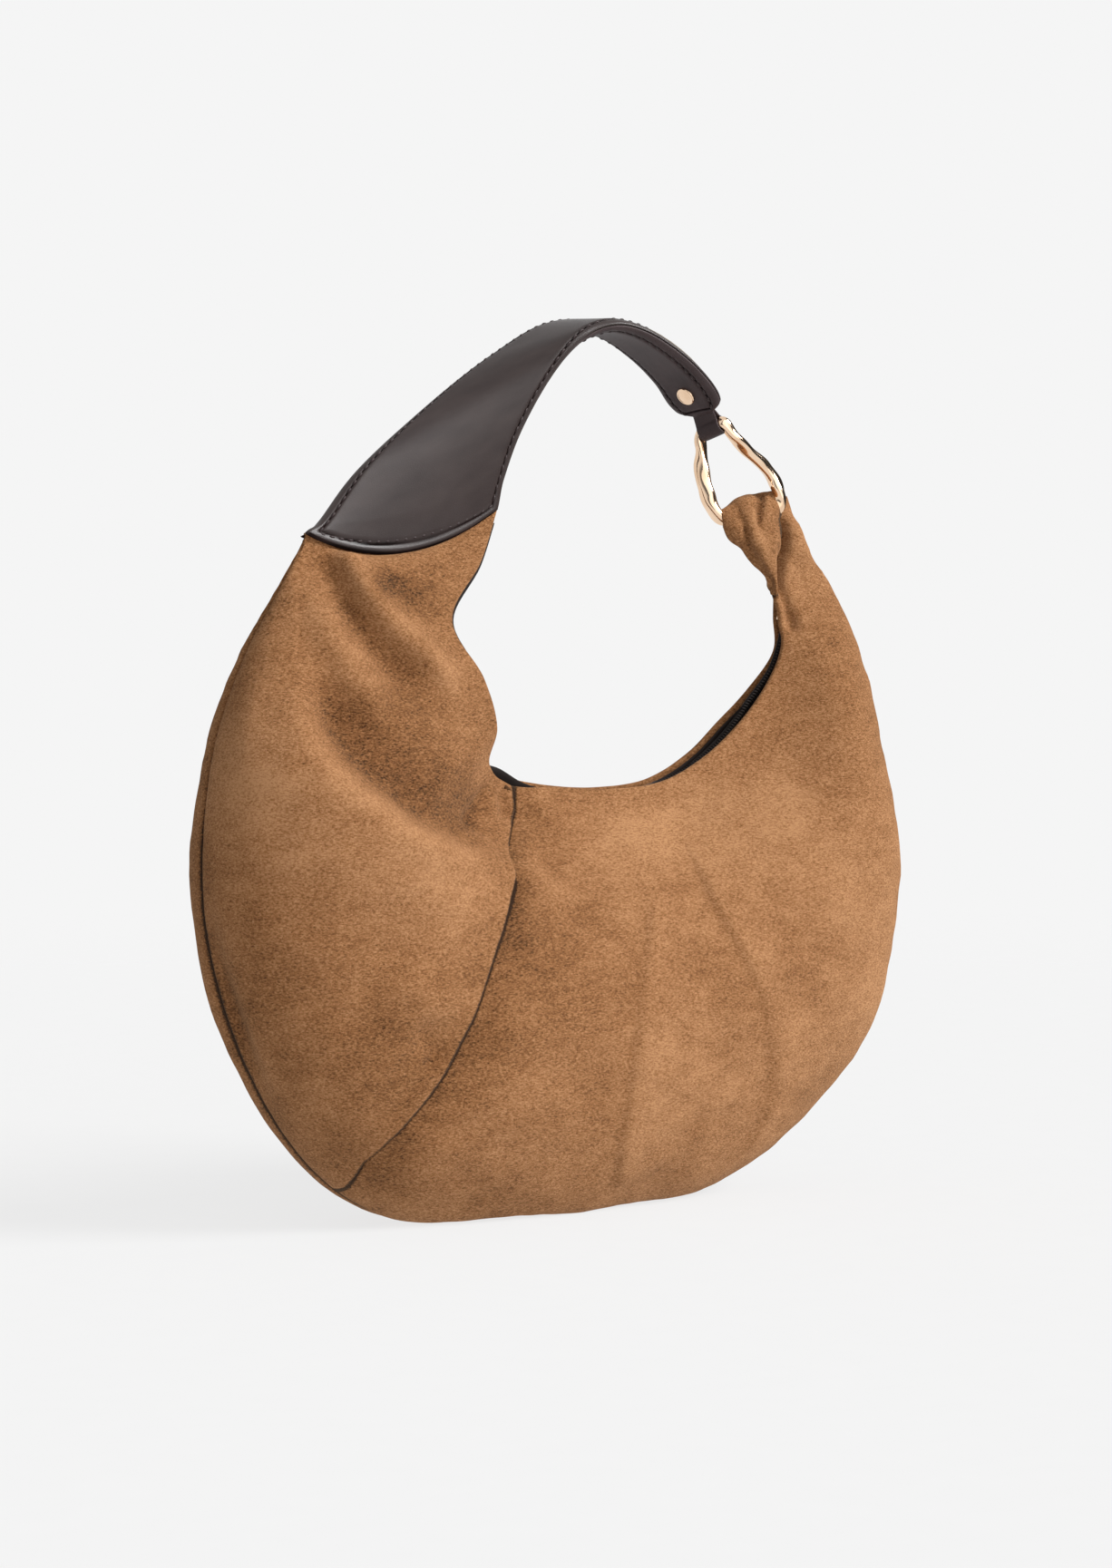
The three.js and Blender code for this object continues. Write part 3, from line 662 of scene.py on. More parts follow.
# Pressed pleats: the line's points, the height, and the widths of the rise and of the drop.
PRESSED = [
    ([(30, 150), (21, 128), (11, 98), (5, 60), (4, 30), (12, 6)], 1.7, 26, 5.0),
    ([(54, 176), (61, 140), (76, 104), (88, 68), (90, 44), (80, 12)], 2.0, 26, 4.5),
]


def folded(x, z, folds):
    return sum(crease(x, z, *fold) for fold in folds)


def front_main(x, z):
    return folded(x, z, MAIN_FOLDS) + sum(pressed(x, z, *fold) for fold in PRESSED)


# Painted light and shade on the front, in soft patches: x, z, half sizes, turn, and how much paler.
PAINTED_LIGHT_PATCHES = [
    (-92, 284, 20, 9, -0.1, -0.5), (-86, 272, 22, 12, -0.7, -0.3), (-105, 287, 8, 10, -0.6, -0.5),
    (-118, 283, 6, 10, 0.3, 0.3), (-64, 260, 9, 13, 0.2, 0.15), (-118, 96, 30, 14, 0.7, -0.35),
    (40, 176, 60, 16, 0.2, 0.65), (-45, 130, 14, 40, 0.5, -0.25), (135, 225, 14, 26, -0.3, -0.1),
    (150, 130, 30, 60, 0.2, 0.4), (-70, 132, 26, 14, 0.8, -0.25), (-58, 163, 24, 13, -0.3, -0.4),
    (-60, 100, 22, 22, 0.0, -0.15), (18, 88, 12, 34, 0.1, 0.15), (60, 150, 40, 30, 0.0, 0.2),
    (40, 60, 60, 30, 0.0, 0.25), (150, 70, 30, 30, 0.6, 0.25), (110, 180, 30, 50, -0.2, 0.3),
    (-164, 150, 14, 50, 0.0, -0.2), (-160, 215, 14, 40, 0.3, -0.15), (135, 60, 24, 12, 0.8, -0.15),
    (120, 300, 18, 28, 0, 0.55), (-176, 190, 14, 50, 0.3, 0.3), (-130, 165, 30, 14, -0.5, -0.25),
    (-112, 60, 30, 18, 0.8, -0.15),
]


# Sums the patches of painted light and shade at each place.
def painted_light_patches(x, z):
    total = np.zeros(x.shape)
    for centre_x, centre_z, along, across, turn, amount in PAINTED_LIGHT_PATCHES:
        dx, dz = x - centre_x, z - centre_z
        a = (dx * math.cos(turn) + dz * math.sin(turn)) / along
        b = (dz * math.cos(turn) - dx * math.sin(turn)) / across
        total += amount * np.exp(-(a**2 + b**2))
    return total


TUCK_DEPTH, TUCK_RIBS = 3.6, 0.5  # how far the main panel sinks under the pleat, and over how many ribs
SEAM_GROOVE = 1.9
# Loose cloth beside the seam at the lower left: its place, its size, and how far each side moves.
SLACK = {"u": 4.6, "v": 0.95, "ribs": 0.5, "reach": 0.04, FRONT: -4.5, BACK: 1.5}


def relief(side, panel, x, z, u, v):
    """How far the cloth stands out from the smooth half, with its seam puckers and the groove of its seam."""
    height = 0.9 * waves(x, z, 3 if side == FRONT else 8, 95, 34)
    height += 0.25 * waves(x, z, 5, 24, 11)
    beyond = u - pleat(v)
    if side == BACK:
        height += folded(x, z, BACK_FOLDS)
    elif panel == "drape":
        height += folded(x, z, DRAPE_FOLDS) + 0.5 * smoothstep(-0.2, -0.02, beyond)
    else:
        drape, main = folded(x, z, DRAPE_FOLDS), front_main(x, z)
        tuck = smoothstep(TUCK_RIBS, 0.02, beyond) * smoothstep(1.0, 0.93, v)
        height += lerp(main, np.minimum(main, drape), tuck) - TUCK_DEPTH * tuck
        if panel == "inside":
            height = np.where(beyond < 0, height - main + drape, height)
    pucker = np.sin(u * 21.0) + 0.6 * np.sin(u * 33.7 + 1.1)
    height += 0.5 * pucker * np.exp(-((1 - v) / 0.07))
    open_end = smoothstep(0, 0.35, u) * smoothstep(LAST, LAST - 0.6, u)
    seam = smoothstep(1.0, 0.8, v) * 0.9 + 0.1
    lip = smoothstep(-0.01, 0.06, v) * 0.8 + 0.2
    sewn = SEAM_GROOVE * np.exp(-((1 - v) / 0.025))
    height = height * open_end * seam * lip - sewn * open_end
    away = ((u - SLACK["u"]) / SLACK["ribs"]) ** 2 + ((v - SLACK["v"]) / SLACK["reach"]) ** 2
    return height + SLACK[side] * np.exp(-away) * smoothstep(1.0, 0.975, v)


def layer(side, panel, u, v, depth):
    """A layer of one half, a depth behind the suede's face."""
    base = face(side, u, v)
    out = normals(base, side)
    raised = relief(side, panel, base[..., 0], base[..., 2], u, v)
    return base + out * (raised - depth)[..., None], raised


def hem(grid, side_of_grid, out, radius, leg, steps=6):
    """Rolls a border of a grid inwards: half a turn, then a short leg back. out holds the outer normals."""
    g = grid if side_of_grid[0] == "v" else np.swapaxes(grid, 0, 1)
    o = out if side_of_grid[0] == "v" else np.swapaxes(out, 0, 1)
    if side_of_grid[1] == "0":
        edge, nxt, normal = g[:, 0], g[:, 2], o[:, 1]
    else:
        edge, nxt, normal = g[:, -1], g[:, -3], o[:, -2]
    away = unit(edge - nxt)
    normal = unit(normal - away * np.sum(normal * away, -1, keepdims=True))
    rows = []
    for k in range(1, steps + 1):
        turn = math.pi * k / steps
        rows.append(edge + away * radius * math.sin(turn) - normal * radius * (1 - math.cos(turn)))
    for share in (0.35, 1.0):
        rows.append(rows[steps - 1] - away * leg * share)
    rows = np.stack(rows, 1)
    g = np.concatenate([rows[:, ::-1], g], 1) if side_of_grid[1] == "0" else np.concatenate([g, rows], 1)
    return g if side_of_grid[0] == "v" else np.swapaxes(g, 0, 1)


def padded_edge(values, rows, side_of_grid, shade):
    """Repeats a grid's border values over the rows that a hem added, and shades them as they turn under."""
    axis = 1 if side_of_grid[0] == "v" else 0
    width = [(0, 0), (0, 0)]
    width[axis] = (rows, 0) if side_of_grid[1] == "0" else (0, rows)
    added = np.pad(np.zeros(values.shape), width, constant_values=1)
    return np.pad(values, width, mode="edge") - shade * added


HEM_ROWS = 8


def below_lip(side, u, distance):
    """v at a distance below the lip, measured in the plane of the seam."""
    lip, seam = LIPS[side](u / LAST)[..., :2], seam_line(u / LAST)[..., :2]
    return 0.5 * distance / (WIDEST * np.linalg.norm(lip - seam, axis=-1))


TUCK_ROWS = 5


def tucked(grid, side, v):
    """Carries the panel's top up between the plies of the leaf."""
    upper, lower = np.clip(v / 0.5, 0, 1), np.clip((v - 0.5) / 0.5, 0, 1)
    share = WIDEST * upper + (1 - WIDEST) * np.sin(lower * math.pi / 2)
    rows = []
    for k in range(TUCK_ROWS, 0, -1):
        up = k / TUCK_ROWS
        w = lerp(0.5, 1 - share, 1 - 0.07 * up)
        row = strap_point(np.full(share.shape, 0.022 * up), w)
        row[:, 1] += side * lerp(1.55, 1.2, up)
        rows.append(row)
    return np.concatenate([np.array(rows), grid])


LINE_SHADE = 1.8  # along the outer seam and the neck's sewn edge
# The shade under the pleat: how dark, how far out from the pleat, wider where the pleat stands higher.
TUCK_SHADE = {"amount": 2.6, "reach": 4.6, "soft": 2.2, "per_step": 0.65}


def panel_piece(name, side, panel, u, v, hems):
    grid, raised = layer(side, panel, u, v, 0.0)
    # Painted light on the folds' ridges (partly rubbed wear) and painted shade in their valleys, the patches
    # of painted light and shade, and painted shade along the seam, under the pleat and along the neck's sewn
    # edge.
    wear_and_painted_light = np.clip(raised / 12.0, -0.5, 0.5)
    if side == FRONT:
        wear_and_painted_light = wear_and_painted_light + painted_light_patches(grid[..., 0], grid[..., 2])
    wear_and_painted_light = wear_and_painted_light - LINE_SHADE * smoothstep(2.6, 4.2, u) * np.exp(-(((1 - v) / 0.008) ** 2))
    if panel == "main":
        beside = np.linalg.norm((grid - face(side, pleat(v), v))[..., ::2], axis=-1)
        x, z = grid[..., 0], grid[..., 2]
        step = np.maximum(folded(x, z, DRAPE_FOLDS) - front_main(x, z), 0)
        reach = TUCK_SHADE["reach"] + TUCK_SHADE["per_step"] * step
        wear_and_painted_light = wear_and_painted_light - TUCK_SHADE["amount"] * smoothstep(reach, reach - TUCK_SHADE["soft"], beside)
        wear_and_painted_light = wear_and_painted_light - LINE_SHADE * np.exp(-(from_line(x, z, NECK_LINE)[0] ** 2))
    if panel != "main":
        grid = tucked(grid, side, v[0])
        wear_and_painted_light = np.pad(wear_and_painted_light, [(TUCK_ROWS, 0), (0, 0)], mode="edge")
    for side_of_grid, sizes in hems:
        out = normals(grid, side)
        grid = hem(grid, side_of_grid, out, sizes["radius"], sizes["leg"])
        wear_and_painted_light = padded_edge(wear_and_painted_light, HEM_ROWS, side_of_grid, sizes["shade"])
    out = normals(grid)
    middle = (grid.shape[0] // 2, grid.shape[1] // 2)
    if out[middle][1] * side < 0:
        out = -out
    inner = grid - out * SUEDE
    return placed(shell(name, grid, inner, SUEDE_LOOK, wear_and_painted_light=wear_and_painted_light))


def spaced(count, start, end, fine_end=0.0):
    """Places from start to end, closer together towards the end where fine_end is above 0."""
    t = np.linspace(0, 1, count)
    t = t + fine_end * np.sin(math.pi * t) / math.pi
    return lerp(start, end, t)


V_ROWS = 116
share, v = np.meshgrid(spaced(130, 0, 1, 0.75), np.linspace(0.006, 1, V_ROWS), indexing="ij")
draped = panel_piece("suede_draped_front", FRONT, "drape", share * pleat(v), v,
                     [("v0", LIP_HEM), ("u1", PLEAT_HEM)])
share, v = np.meshgrid(1 - spaced(250, 0, 1, 0.8)[::-1], np.linspace(0.006, 1, V_ROWS), indexing="ij")
u = lerp(pleat(v) - 0.22, LAST, share)
main = panel_piece("suede_main_front", FRONT, "main", u, v, [("v0", LIP_HEM)])
share, v = np.meshgrid(np.linspace(0, 1, 250), np.linspace(0.006, 1, 90), indexing="ij")
back = panel_piece("suede_back", BACK, "back", share * LAST, v, [("v0", LIP_HEM)])

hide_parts("draped_front_panel")
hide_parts("main_front_panel")
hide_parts("back_panel")


# ---------------------------------------------------------------- inside: facings, lining, pocket
def inside_piece(name, side, u_range, v_of, sizes, look, counts, panel=None):
    share_u, share_v = np.meshgrid(np.linspace(0, 1, counts[0]), np.linspace(0, 1, counts[1]), indexing="ij")
    u = lerp(u_range[0], u_range[1], share_u)
    start, end = v_of(u)
    v = lerp(start, end, share_v)
    panel = panel or ("back" if side == BACK else "inside")
    outer, _ = layer(side, panel, u, v, sizes["depth"])
    inner, _ = layer(side, panel, u, v, sizes["depth"] + sizes["thick"])
    steps_u = np.linalg.norm(np.diff(outer[:, counts[1] // 2], axis=0), axis=1)
    across = np.linalg.norm(np.diff(outer, axis=1), axis=2).mean(0)
    pattern = np.zeros(outer.shape)
    pattern[..., 0] = np.concatenate([[0], np.cumsum(steps_u)])[:, None]
    pattern[..., 1] = np.concatenate([[0], np.cumsum(across)])[None, :]
    return placed(shell(name, outer, inner, look, pattern=pattern, rim=2))


def facing_rows(side):
    def rows(u):
        if side == FRONT:
            proud = lerp(2.8, -3.0, smoothstep(2.3, 3.7, u))
        else:
            proud = lerp(-1.5, 1.2, smoothstep(1.2, 0.0, np.abs(u - 5.8)))
        return below_lip(side, u, -proud), below_lip(side, u, FACING["band"])
    return rows


facings, linings = {}, {}
for side, label in ((FRONT, "front"), (BACK, "back")):
    facings[side] = inside_piece(f"leather_facing_{label}", side, (0.25, 14.2), facing_rows(side), FACING,
                                 FACING_LOOK, (190, 18))
    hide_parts(f"mouth_facing_{label}")
    linings[side] = inside_piece(f"cloth_lining_{label}", side, (2.4, 14.0),
                                 lambda u, side=side: (below_lip(side, u, LINING["start"]), 1.0 + 0 * u),
                                 LINING, LINING_LOOK, (110, 44))
    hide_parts(f"lining_{label}")
pocket = inside_piece("cloth_slip_pocket", BACK, (7.2, 9.4), lambda u: (0.36 + 0 * u, 0.68 + 0 * u), POCKET,
                      LINING_LOOK, (40, 30))
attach(pocket, "bag")
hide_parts("slip_pocket")


# ---------------------------------------------------------------- zip
def zip_radius(degrees):
    """The zip dips at the mouth's lower left corner and swings outwards where the lips close up."""
    d = MOUTH_DIP
    dip = d["deep"] * smoothstep(d["half"], 0, np.abs(degrees - d["at"]))
    return COIL_RADIUS + dip + RIGHT_END["outwards"] * smoothstep(*RIGHT_END["range"], degrees)


def on_zip(degrees, below=0.0):
    """x and z of the zip's line, some millimetres further into the bag."""
    turn = np.radians(degrees)
    r = zip_radius(degrees) + below
    return MOUTH_CENTRE[0] + r * np.cos(turn), MOUTH_CENTRE[1] + r * np.sin(turn)


def zip_tape(side, label):
    degrees, across = np.meshgrid(np.linspace(199, 350, 150), np.linspace(0, 1, 10), indexing="ij")
    x, z = on_zip(degrees, lerp(-1.5, 11.5, across))
    ripple = 0.25 * np.sin(degrees * 1.9) * across
    y = side * (4.8 + ripple) * lerp(1, 0.7, smoothstep(*RIGHT_END["range"], degrees))
    outer = np.stack([x, y + side * 0.5, z], -1)
    inner = np.stack([x, y, z], -1)
    pattern = np.stack([np.radians(degrees) * COIL_RADIUS, across * 13, 0 * x], -1)
    piece = shell(f"zip_tape_{label}_cloth", outer, inner, TAPE_LOOK, pattern=pattern, rim=2)
    return placed(piece, "bag", f"zip_tape_{label}")


def zip_coil(side, label):
    """The coil's teeth: a loop of nylon every 1.5 mm, sewn to the tape's edge."""
    teeth = []
    loop = np.linspace(-0.3, math.pi + 0.3, 9)
    for degrees in np.arange(COIL_ENDS[0], COIL_ENDS[1], math.degrees(1.5 / COIL_RADIUS)):
        x, z = on_zip(degrees, np.cos(loop) * 0.9)
        y = side * (4.3 - 1.4 * np.sin(loop))
        teeth.append(tube(np.stack([x, y, z], -1), 0.38, 6))
    piece = add_mesh(f"zip_coil_{label}_teeth", *merged(teeth), COIL_LOOK)
    placed(piece, "bag", f"zip_coil_{label}")


tapes = [zip_tape(FRONT, "front"), zip_tape(BACK, "back")]
zip_coil(FRONT, "front")
zip_coil(BACK, "back")

# ---------------------------------------------------------------- ring and its suede wrap
bar_direction = np.array([math.cos(BAR["tilt"]), 0, math.sin(BAR["tilt"])])
TOP_BAR = {"centre": np.array([83.0, 0, 361]), "direction": unit(np.array([0.40, -0.85, 0.34]))}


def on_bar(along):
    return np.array(BAR["centre"]) + bar_direction * along


def on_top_bar(along):
    return TOP_BAR["centre"] + TOP_BAR["direction"] * along


RING_POINTS = [
    *[on_bar(along) for along in (-18, -9, 0, 5)],
    (115.2, -4.2, 322), (118.2, -6.0, 328), (116.6, -5.0, 336), (110.5, -4.2, 343.5), (101, -4.8, 350),
    (91.5, -6.4, 357),
    *[on_top_bar(along) for along in (6, 0, -6)],
    (81, 6, 351.5), (80.2, 4, 343.5), (80.6, 2.2, 333.5), (83, 1, 325.5),
]


def ring_piece():
    """Hand-hammered wire: its section wanders, with shallow flats all round."""
    count, sides = 260, 36
    path = spline(RING_POINTS, closed=True)(np.linspace(0, 1, count, endpoint=False))
    s = np.linspace(0, 2 * math.pi, count, endpoint=False)[:, None]
    turn = np.linspace(0, 2 * math.pi, sides, endpoint=False)[None, :]
    draw = np.random.default_rng(21)
    dents = np.zeros((count, sides))
    for _ in range(12):
        along, round_it, phase = draw.integers(4, 15), draw.integers(0, 3), draw.uniform(0, 2 * math.pi)
        dents += np.sin(along * s + round_it * turn + phase)
    height = path[:, 2:3]
    stout = lerp(0.88, 1.12, smoothstep(362, 335, height))
    flats = 0.10 * np.cos(2 * turn - 3 * s) + 0.05 * np.cos(3 * turn + 5 * s)
    radius = RING_WIRE * stout * (1 + flats + 0.022 * dents)
    piece = add_mesh("hammered_ring", *tube(path, radius, sides, closed=True), GOLD_LOOK)
    placed(piece, "ring", "ring")


ring_piece()

# The wrap's front, from its sewn point upwards: height, left and right edges, and how far it stands out.
WRAP_ROWS = [(283, 114.4, 115.8, 8.6), (287.5, 112.8, 116, 9.2), (292.7, 107.6, 116.3, 10.0),
             (298, 102.2, 117, 10.8), (304.2, 97.4, 119.6, 11.2), (310.6, 90.0, 120.6, 11.2),
             (317, 86.8, 119.6, 10.6)]
WRAP_RADII = (4.6, 10.8)
WRAP_BACK_DROP = 20
WRAP_FOLDS = [
    ([(94, 324), (95.5, 314), (99, 305), (105, 297), (112, 289)], -1.6, 1.3, 2.0, (0.3, 0.7)),
    ([(111, 334), (107, 327), (104, 319), (103.5, 312)], -2.6, 1.5, 2.6, (0.9, 0.1)),
    ([(99.5, 326), (100, 316), (104, 306), (110, 296)], 1.0, 3.5, 4.0),
]


def wrap_piece():
    """The suede that goes over the ring's bar: gathered at the right, sewn down to a point in front."""
    across = np.linspace(0, 1, 48)
    rows_at = spline([(left, right, out, z) for z, left, right, out in WRAP_ROWS])
    domed = 1 - np.abs(2 * across - 1) ** 3.2
    rows = []
    for t in np.linspace(0, 1, 50):
        left, right, out, z = rows_at(t)
        x = lerp(left, right, across)
        rows.append(np.stack([x, -lerp(4.6, out, domed), z + 0.13 * (x - 107) * t], -1))
    last = rows[-1]
    x = last[:, 0]
    radius = lerp(*WRAP_RADII, smoothstep(-0.15, 0.5, across))
    top = 320 + 0.13 * (x - 107)
    for turn in np.linspace(0.08, 1, 30) * math.pi:
        shift = 7.0 * smoothstep(0.8, math.pi, turn) * (1 - across) ** 2
        ring = np.stack([x + shift, -radius * math.cos(turn), top + radius * math.sin(turn)], -1)
        rows.append(lerp(last, ring, smoothstep(0, 1.1, turn)))
    last = rows[-1]
    for t in np.linspace(0.06, 1, 20):
        left, right, _, _ = rows_at(1 - t * 0.8)
        x = lerp(lerp(left + 7.0, 116, smoothstep(0, 0.8, t)), right, across)
        y = lerp(last[:, 1], 3.0 + 2.0 * domed, smoothstep(0, 0.7, t))
        rows.append(np.stack([x, y, last[:, 2] - WRAP_BACK_DROP * t], -1))
    grid = np.stack(rows)
    out = normals(grid)
    if out[20, 22][1] > 0:
        out = -out
    x, z = grid[..., 0], grid[..., 2]
    in_front = smoothstep(3.0, -2.0, grid[..., 1])
    dent = folded(x, z, WRAP_FOLDS) * in_front + 0.3 * waves(x, z + grid[..., 1], 31, 14, 6)
    grid = grid + out * dent[..., None]
    inner = grid - normals_like(grid, out) * SUEDE
    # Painted light on the wrap's ridges and painted shade in its creases, and a line of painted shade along
    # its right edge.
    wear_and_painted_light = np.clip(dent / 4, -0.6, 0.4) - 1.5 * smoothstep(0.88, 0.95, across)
    piece = shell("suede_ring_wrap", grid, inner, SUEDE_LOOK, wear_and_painted_light=wear_and_painted_light)
    return placed(piece, "bag", "ring_loop")


def normals_like(grid, like):
    result = normals(grid)
    return result if np.sum(result * like) > 0 else -result


wrap = wrap_piece()

# ---------------------------------------------------------------- handle
FOOT_STITCH = 0.032  # where the stitches cross the foot, along the strap
EDGE_STEPS = np.array([0, 0.35, 0.8, 1.4, 2.1, 2.8, 3.4, 3.8, 4.2, 4.6, 5.2, 6.2, 7.6])


def strap_grid():
    """Places on the strap: s along it, w across it, and each one's distance from the nearest edge."""
    ends = np.array([0, 0.001, 0.003, 0.006, 0.009, 0.013, 0.018, 0.024, 0.032, 0.042])
    s = np.concatenate([ends, np.linspace(0.05, 0.93, 150), 1 - 0.07 * (1 - np.linspace(0.05, 1, 22)) ** 1.5])
    span = np.linalg.norm(front_edge(s) - back_edge(s), axis=-1)
    width = span * np.sqrt(1 - 0.75 * smoothstep(0.93, 1.0, s) ** 2)
    rows = []
    for full in width:
        near = EDGE_STEPS * min(1, full / 18)
        inside = np.linspace(near[-1], full - near[-1], 30)[1:-1]
        rows.append(np.concatenate([near, inside, full - near[::-1]]))
    millimetres = np.array(rows)
    w = 0.5 + (millimetres - width[:, None] / 2) / span[:, None]
    s = np.repeat(s[:, None], w.shape[1], axis=1)
    side_edge = np.minimum(millimetres, width[:, None] - millimetres)
    mid = strap_point(s, w)
    foot_edge = np.linalg.norm(mid - strap_point(np.zeros_like(s), w), axis=-1)
    tip_edge = np.linalg.norm(mid - strap_point(np.ones_like(s), w), axis=-1)
    return s, w, side_edge, foot_edge, tip_edge


def filler_half(sides, foot_edge):
    """Half the space between the plies: closed at the sides and the tip, open over the panels at the foot."""
    closed = lerp(0.2, STRAP["core"], smoothstep(0.0, 4.5, sides))
    return lerp(STRAP["core"] + 0.1, closed, smoothstep(0, 14, foot_edge))


def ply_piece(name, out_side, look, node_name):
    """One ply of the strap: padded over the filler, thin where it is sewn, with a rounded edge."""
    s, w, side_edge, foot_edge, tip_edge = strap_grid()
    middle, normal = strap_point(s, w), strap_normal(s, w)
    sides = np.minimum(side_edge, tip_edge)
    low = filler_half(sides, foot_edge)
    nearest = np.minimum(sides, foot_edge)
    thick = (STRAP["face"] - STRAP["core"]) * (1 - 0.5 * np.exp(-((nearest - STRAP["stitch"]) / 0.9) ** 2))
    thick = thick * (1 - 0.3 * smoothstep(0.8, 0, nearest))
    outer = middle + normal * (out_side * (low + thick))[..., None]
    inner = middle + normal * (out_side * low)[..., None]
    length = np.concatenate([[0], np.cumsum(np.linalg.norm(np.diff(middle[:, 20], axis=0), axis=1))])
    pattern = np.stack([np.repeat(length[:, None], s.shape[1], 1), w * 60, 0 * s + 10 * out_side], -1)
    # Paler scuffed sides, a darker foot edge, and painted shade along the stitch channel; the same values
    # also change the gloss.
    wear_and_painted_light = 0.15 * smoothstep(1.6, 0.2, sides) - 0.5 * smoothstep(1.8, 0.2, foot_edge)
    wear_and_painted_light = wear_and_painted_light - 0.6 * np.exp(-(((nearest - STRAP["stitch"]) / 0.6) ** 2))
    piece = shell(name, outer, inner, look, pattern=pattern, wear_and_painted_light=wear_and_painted_light, rim=4)
    placed(piece, "handle", node_name)


def ply_stitches(name, out_side):
    """A row of stitches down one side of a ply, across its foot and up the other side."""
    down = np.linspace(0.985, FOOT_STITCH, 300)
    inset = STRAP["stitch"] / np.linalg.norm(front_edge(down) - back_edge(down), axis=-1)
    across = np.linspace(inset[-1], 1 - inset[-1], 80)
    s = np.concatenate([down, np.full(80, FOOT_STITCH), down[::-1]])
    w = np.concatenate([inset, across, 1 - inset[::-1]])
    base, up = strap_point(s, w), strap_normal(s, w) * out_side
    foot_edge = np.linalg.norm(base - strap_point(np.zeros_like(s), w), axis=-1)
    height = filler_half(STRAP["stitch"], foot_edge) + (STRAP["face"] - STRAP["core"]) * 0.56
    placed(stitched(name, base + up * height[:, None], up, THREAD_LOOK), "handle")


for name, out_side, look, node_name in (
    ("leather_strap_outer", 1, LEATHER_LOOK, "strap_outer_ply"),
    ("leather_strap_underside", -1, UNDER_LOOK, "strap_lining_ply"),
):
    ply_piece(name, out_side, look, node_name)
    ply_stitches(name + "_stitches", out_side)


# The stations of the chape's legs along the strap, and of its loop in degrees round the ring's top bar.
CHAPE = {
    "half": 5.4, "radius": 4.2,
    "leg": (0.86, 0.9, 0.94, 0.97, 0.99),
    "round": (30, 50, 75, 100, 130, 160, 190, 220, 250, 275, 300, 320),
}


def chape_piece():
    """The strip that goes round the ring's top bar, its two legs sewn between the strap's plies."""
    tip = strap_point(np.array(1.0), np.array(0.5))
    up = tip - TOP_BAR["centre"]
    up = unit(up - TOP_BAR["direction"] * (up @ TOP_BAR["direction"]))
    out = unit(np.cross(TOP_BAR["direction"], up))
    leg_normal = strap_normal(np.array(1.0), np.array(0.5))
    if out @ leg_normal < 0:
        out = -out

    def leg(places, out_side):
        for s in places:
            normal = strap_normal(np.array(s), np.array(0.5)) * out_side
            middle = strap_point(np.array(s), np.array(0.5))
            stations.append((middle + normal * 0.75, unit(front_edge(s) - back_edge(s)), normal))

    stations = []
    leg(CHAPE["leg"], 1)
    for degrees in CHAPE["round"]:
        turn = math.radians(degrees)
        radial = up * math.cos(turn) + out * math.sin(turn)
        stations.append((TOP_BAR["centre"] + radial * CHAPE["radius"], TOP_BAR["direction"], radial))
    leg(CHAPE["leg"][::-1], -1)
    centre, across, normal = (spline([row[k] for row in stations])(np.linspace(0, 1, 90)) for k in range(3))
    across, normal = unit(across), unit(normal)
    w = np.array([-1, -0.93, -0.8, -0.4, 0, 0.4, 0.8, 0.93, 1])
    spots = centre[:, None] + across[:, None] * (CHAPE["half"] * w)[None, :, None]
    sink = (0.18 * np.abs(w) ** 6)[None, :, None]
    outer = spots + normal[:, None] * (0.6 - sink)
    inner = spots - normal[:, None] * 0.55
    piece = shell("leather_chape", outer, inner, LEATHER_LOOK, rim=3)
    placed(piece, "handle", "chape")


chape_piece()


def lathe(profile, centre, axis, sides=64):
    """A closed turned body. profile is radius and height, from the axis to the axis."""
    axis = unit(np.asarray(axis, float))
    first = unit(np.cross(axis, (0.3, 0.9, 0.1)))
    second = np.cross(axis, first)
    turn = np.linspace(0, 2 * math.pi, sides, endpoint=False)
    points = [centre + axis * profile[0][1]]
    for radius, height in profile[1:-1]:
        ring = centre + axis * height + radius * (
            first * np.cos(turn)[:, None] + second * np.sin(turn)[:, None])
        points.extend(ring)
    points.append(centre + axis * profile[-1][1])
    rings = len(profile) - 2
    faces = [(0, 1 + k, 1 + (k + 1) % sides) for k in range(sides)]
    for r in range(rings - 1):
        start = 1 + r * sides
        faces += [(start + k, start + sides + k, start + sides + (k + 1) % sides, start + (k + 1) % sides)
                  for k in range(sides)]
    start, last = 1 + (rings - 1) * sides, len(points) - 1
    faces += [(last, start + (k + 1) % sides, start + k) for k in range(sides)]
    return np.array(points), faces


# Radius and height above the strap's middle, from the head's centre over its rim to the shank.
RIVET_PROFILE = [(0, 4.35), (3.0, 4.3), (3.35, 4.22), (3.55, 4.3), (3.9, 4.42), (4.25, 4.3), (4.5, 4.0),
                 (4.55, 3.5), (4.3, 3.1), (1.6, 3.1), (1.55, 0.1), (0, 0.1)]


def rivet_piece(name, out_side, node_name):
    s, w = np.array(RIVET_STATION), np.array(0.5)
    axis = strap_normal(s, w) * out_side
    piece = add_mesh(name, *lathe(RIVET_PROFILE, strap_point(s, w), axis), GOLD_LOOK)
    placed(piece, "handle", node_name)


rivet_piece("rivet_under", -1, "rivet_head")
rivet_piece("rivet_over", 1, "rivet_cap")

for name in ("zip_bottom_stop", "zip_top_stop_front", "zip_top_stop_back", "zip_slider", "zip_puller"):
    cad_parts[name].data.materials.clear()
    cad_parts[name].data.materials.append(GOLD_LOOK)
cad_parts["strap_filler"].data.materials.clear()
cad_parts["strap_filler"].data.materials.append(FILLER_LOOK)

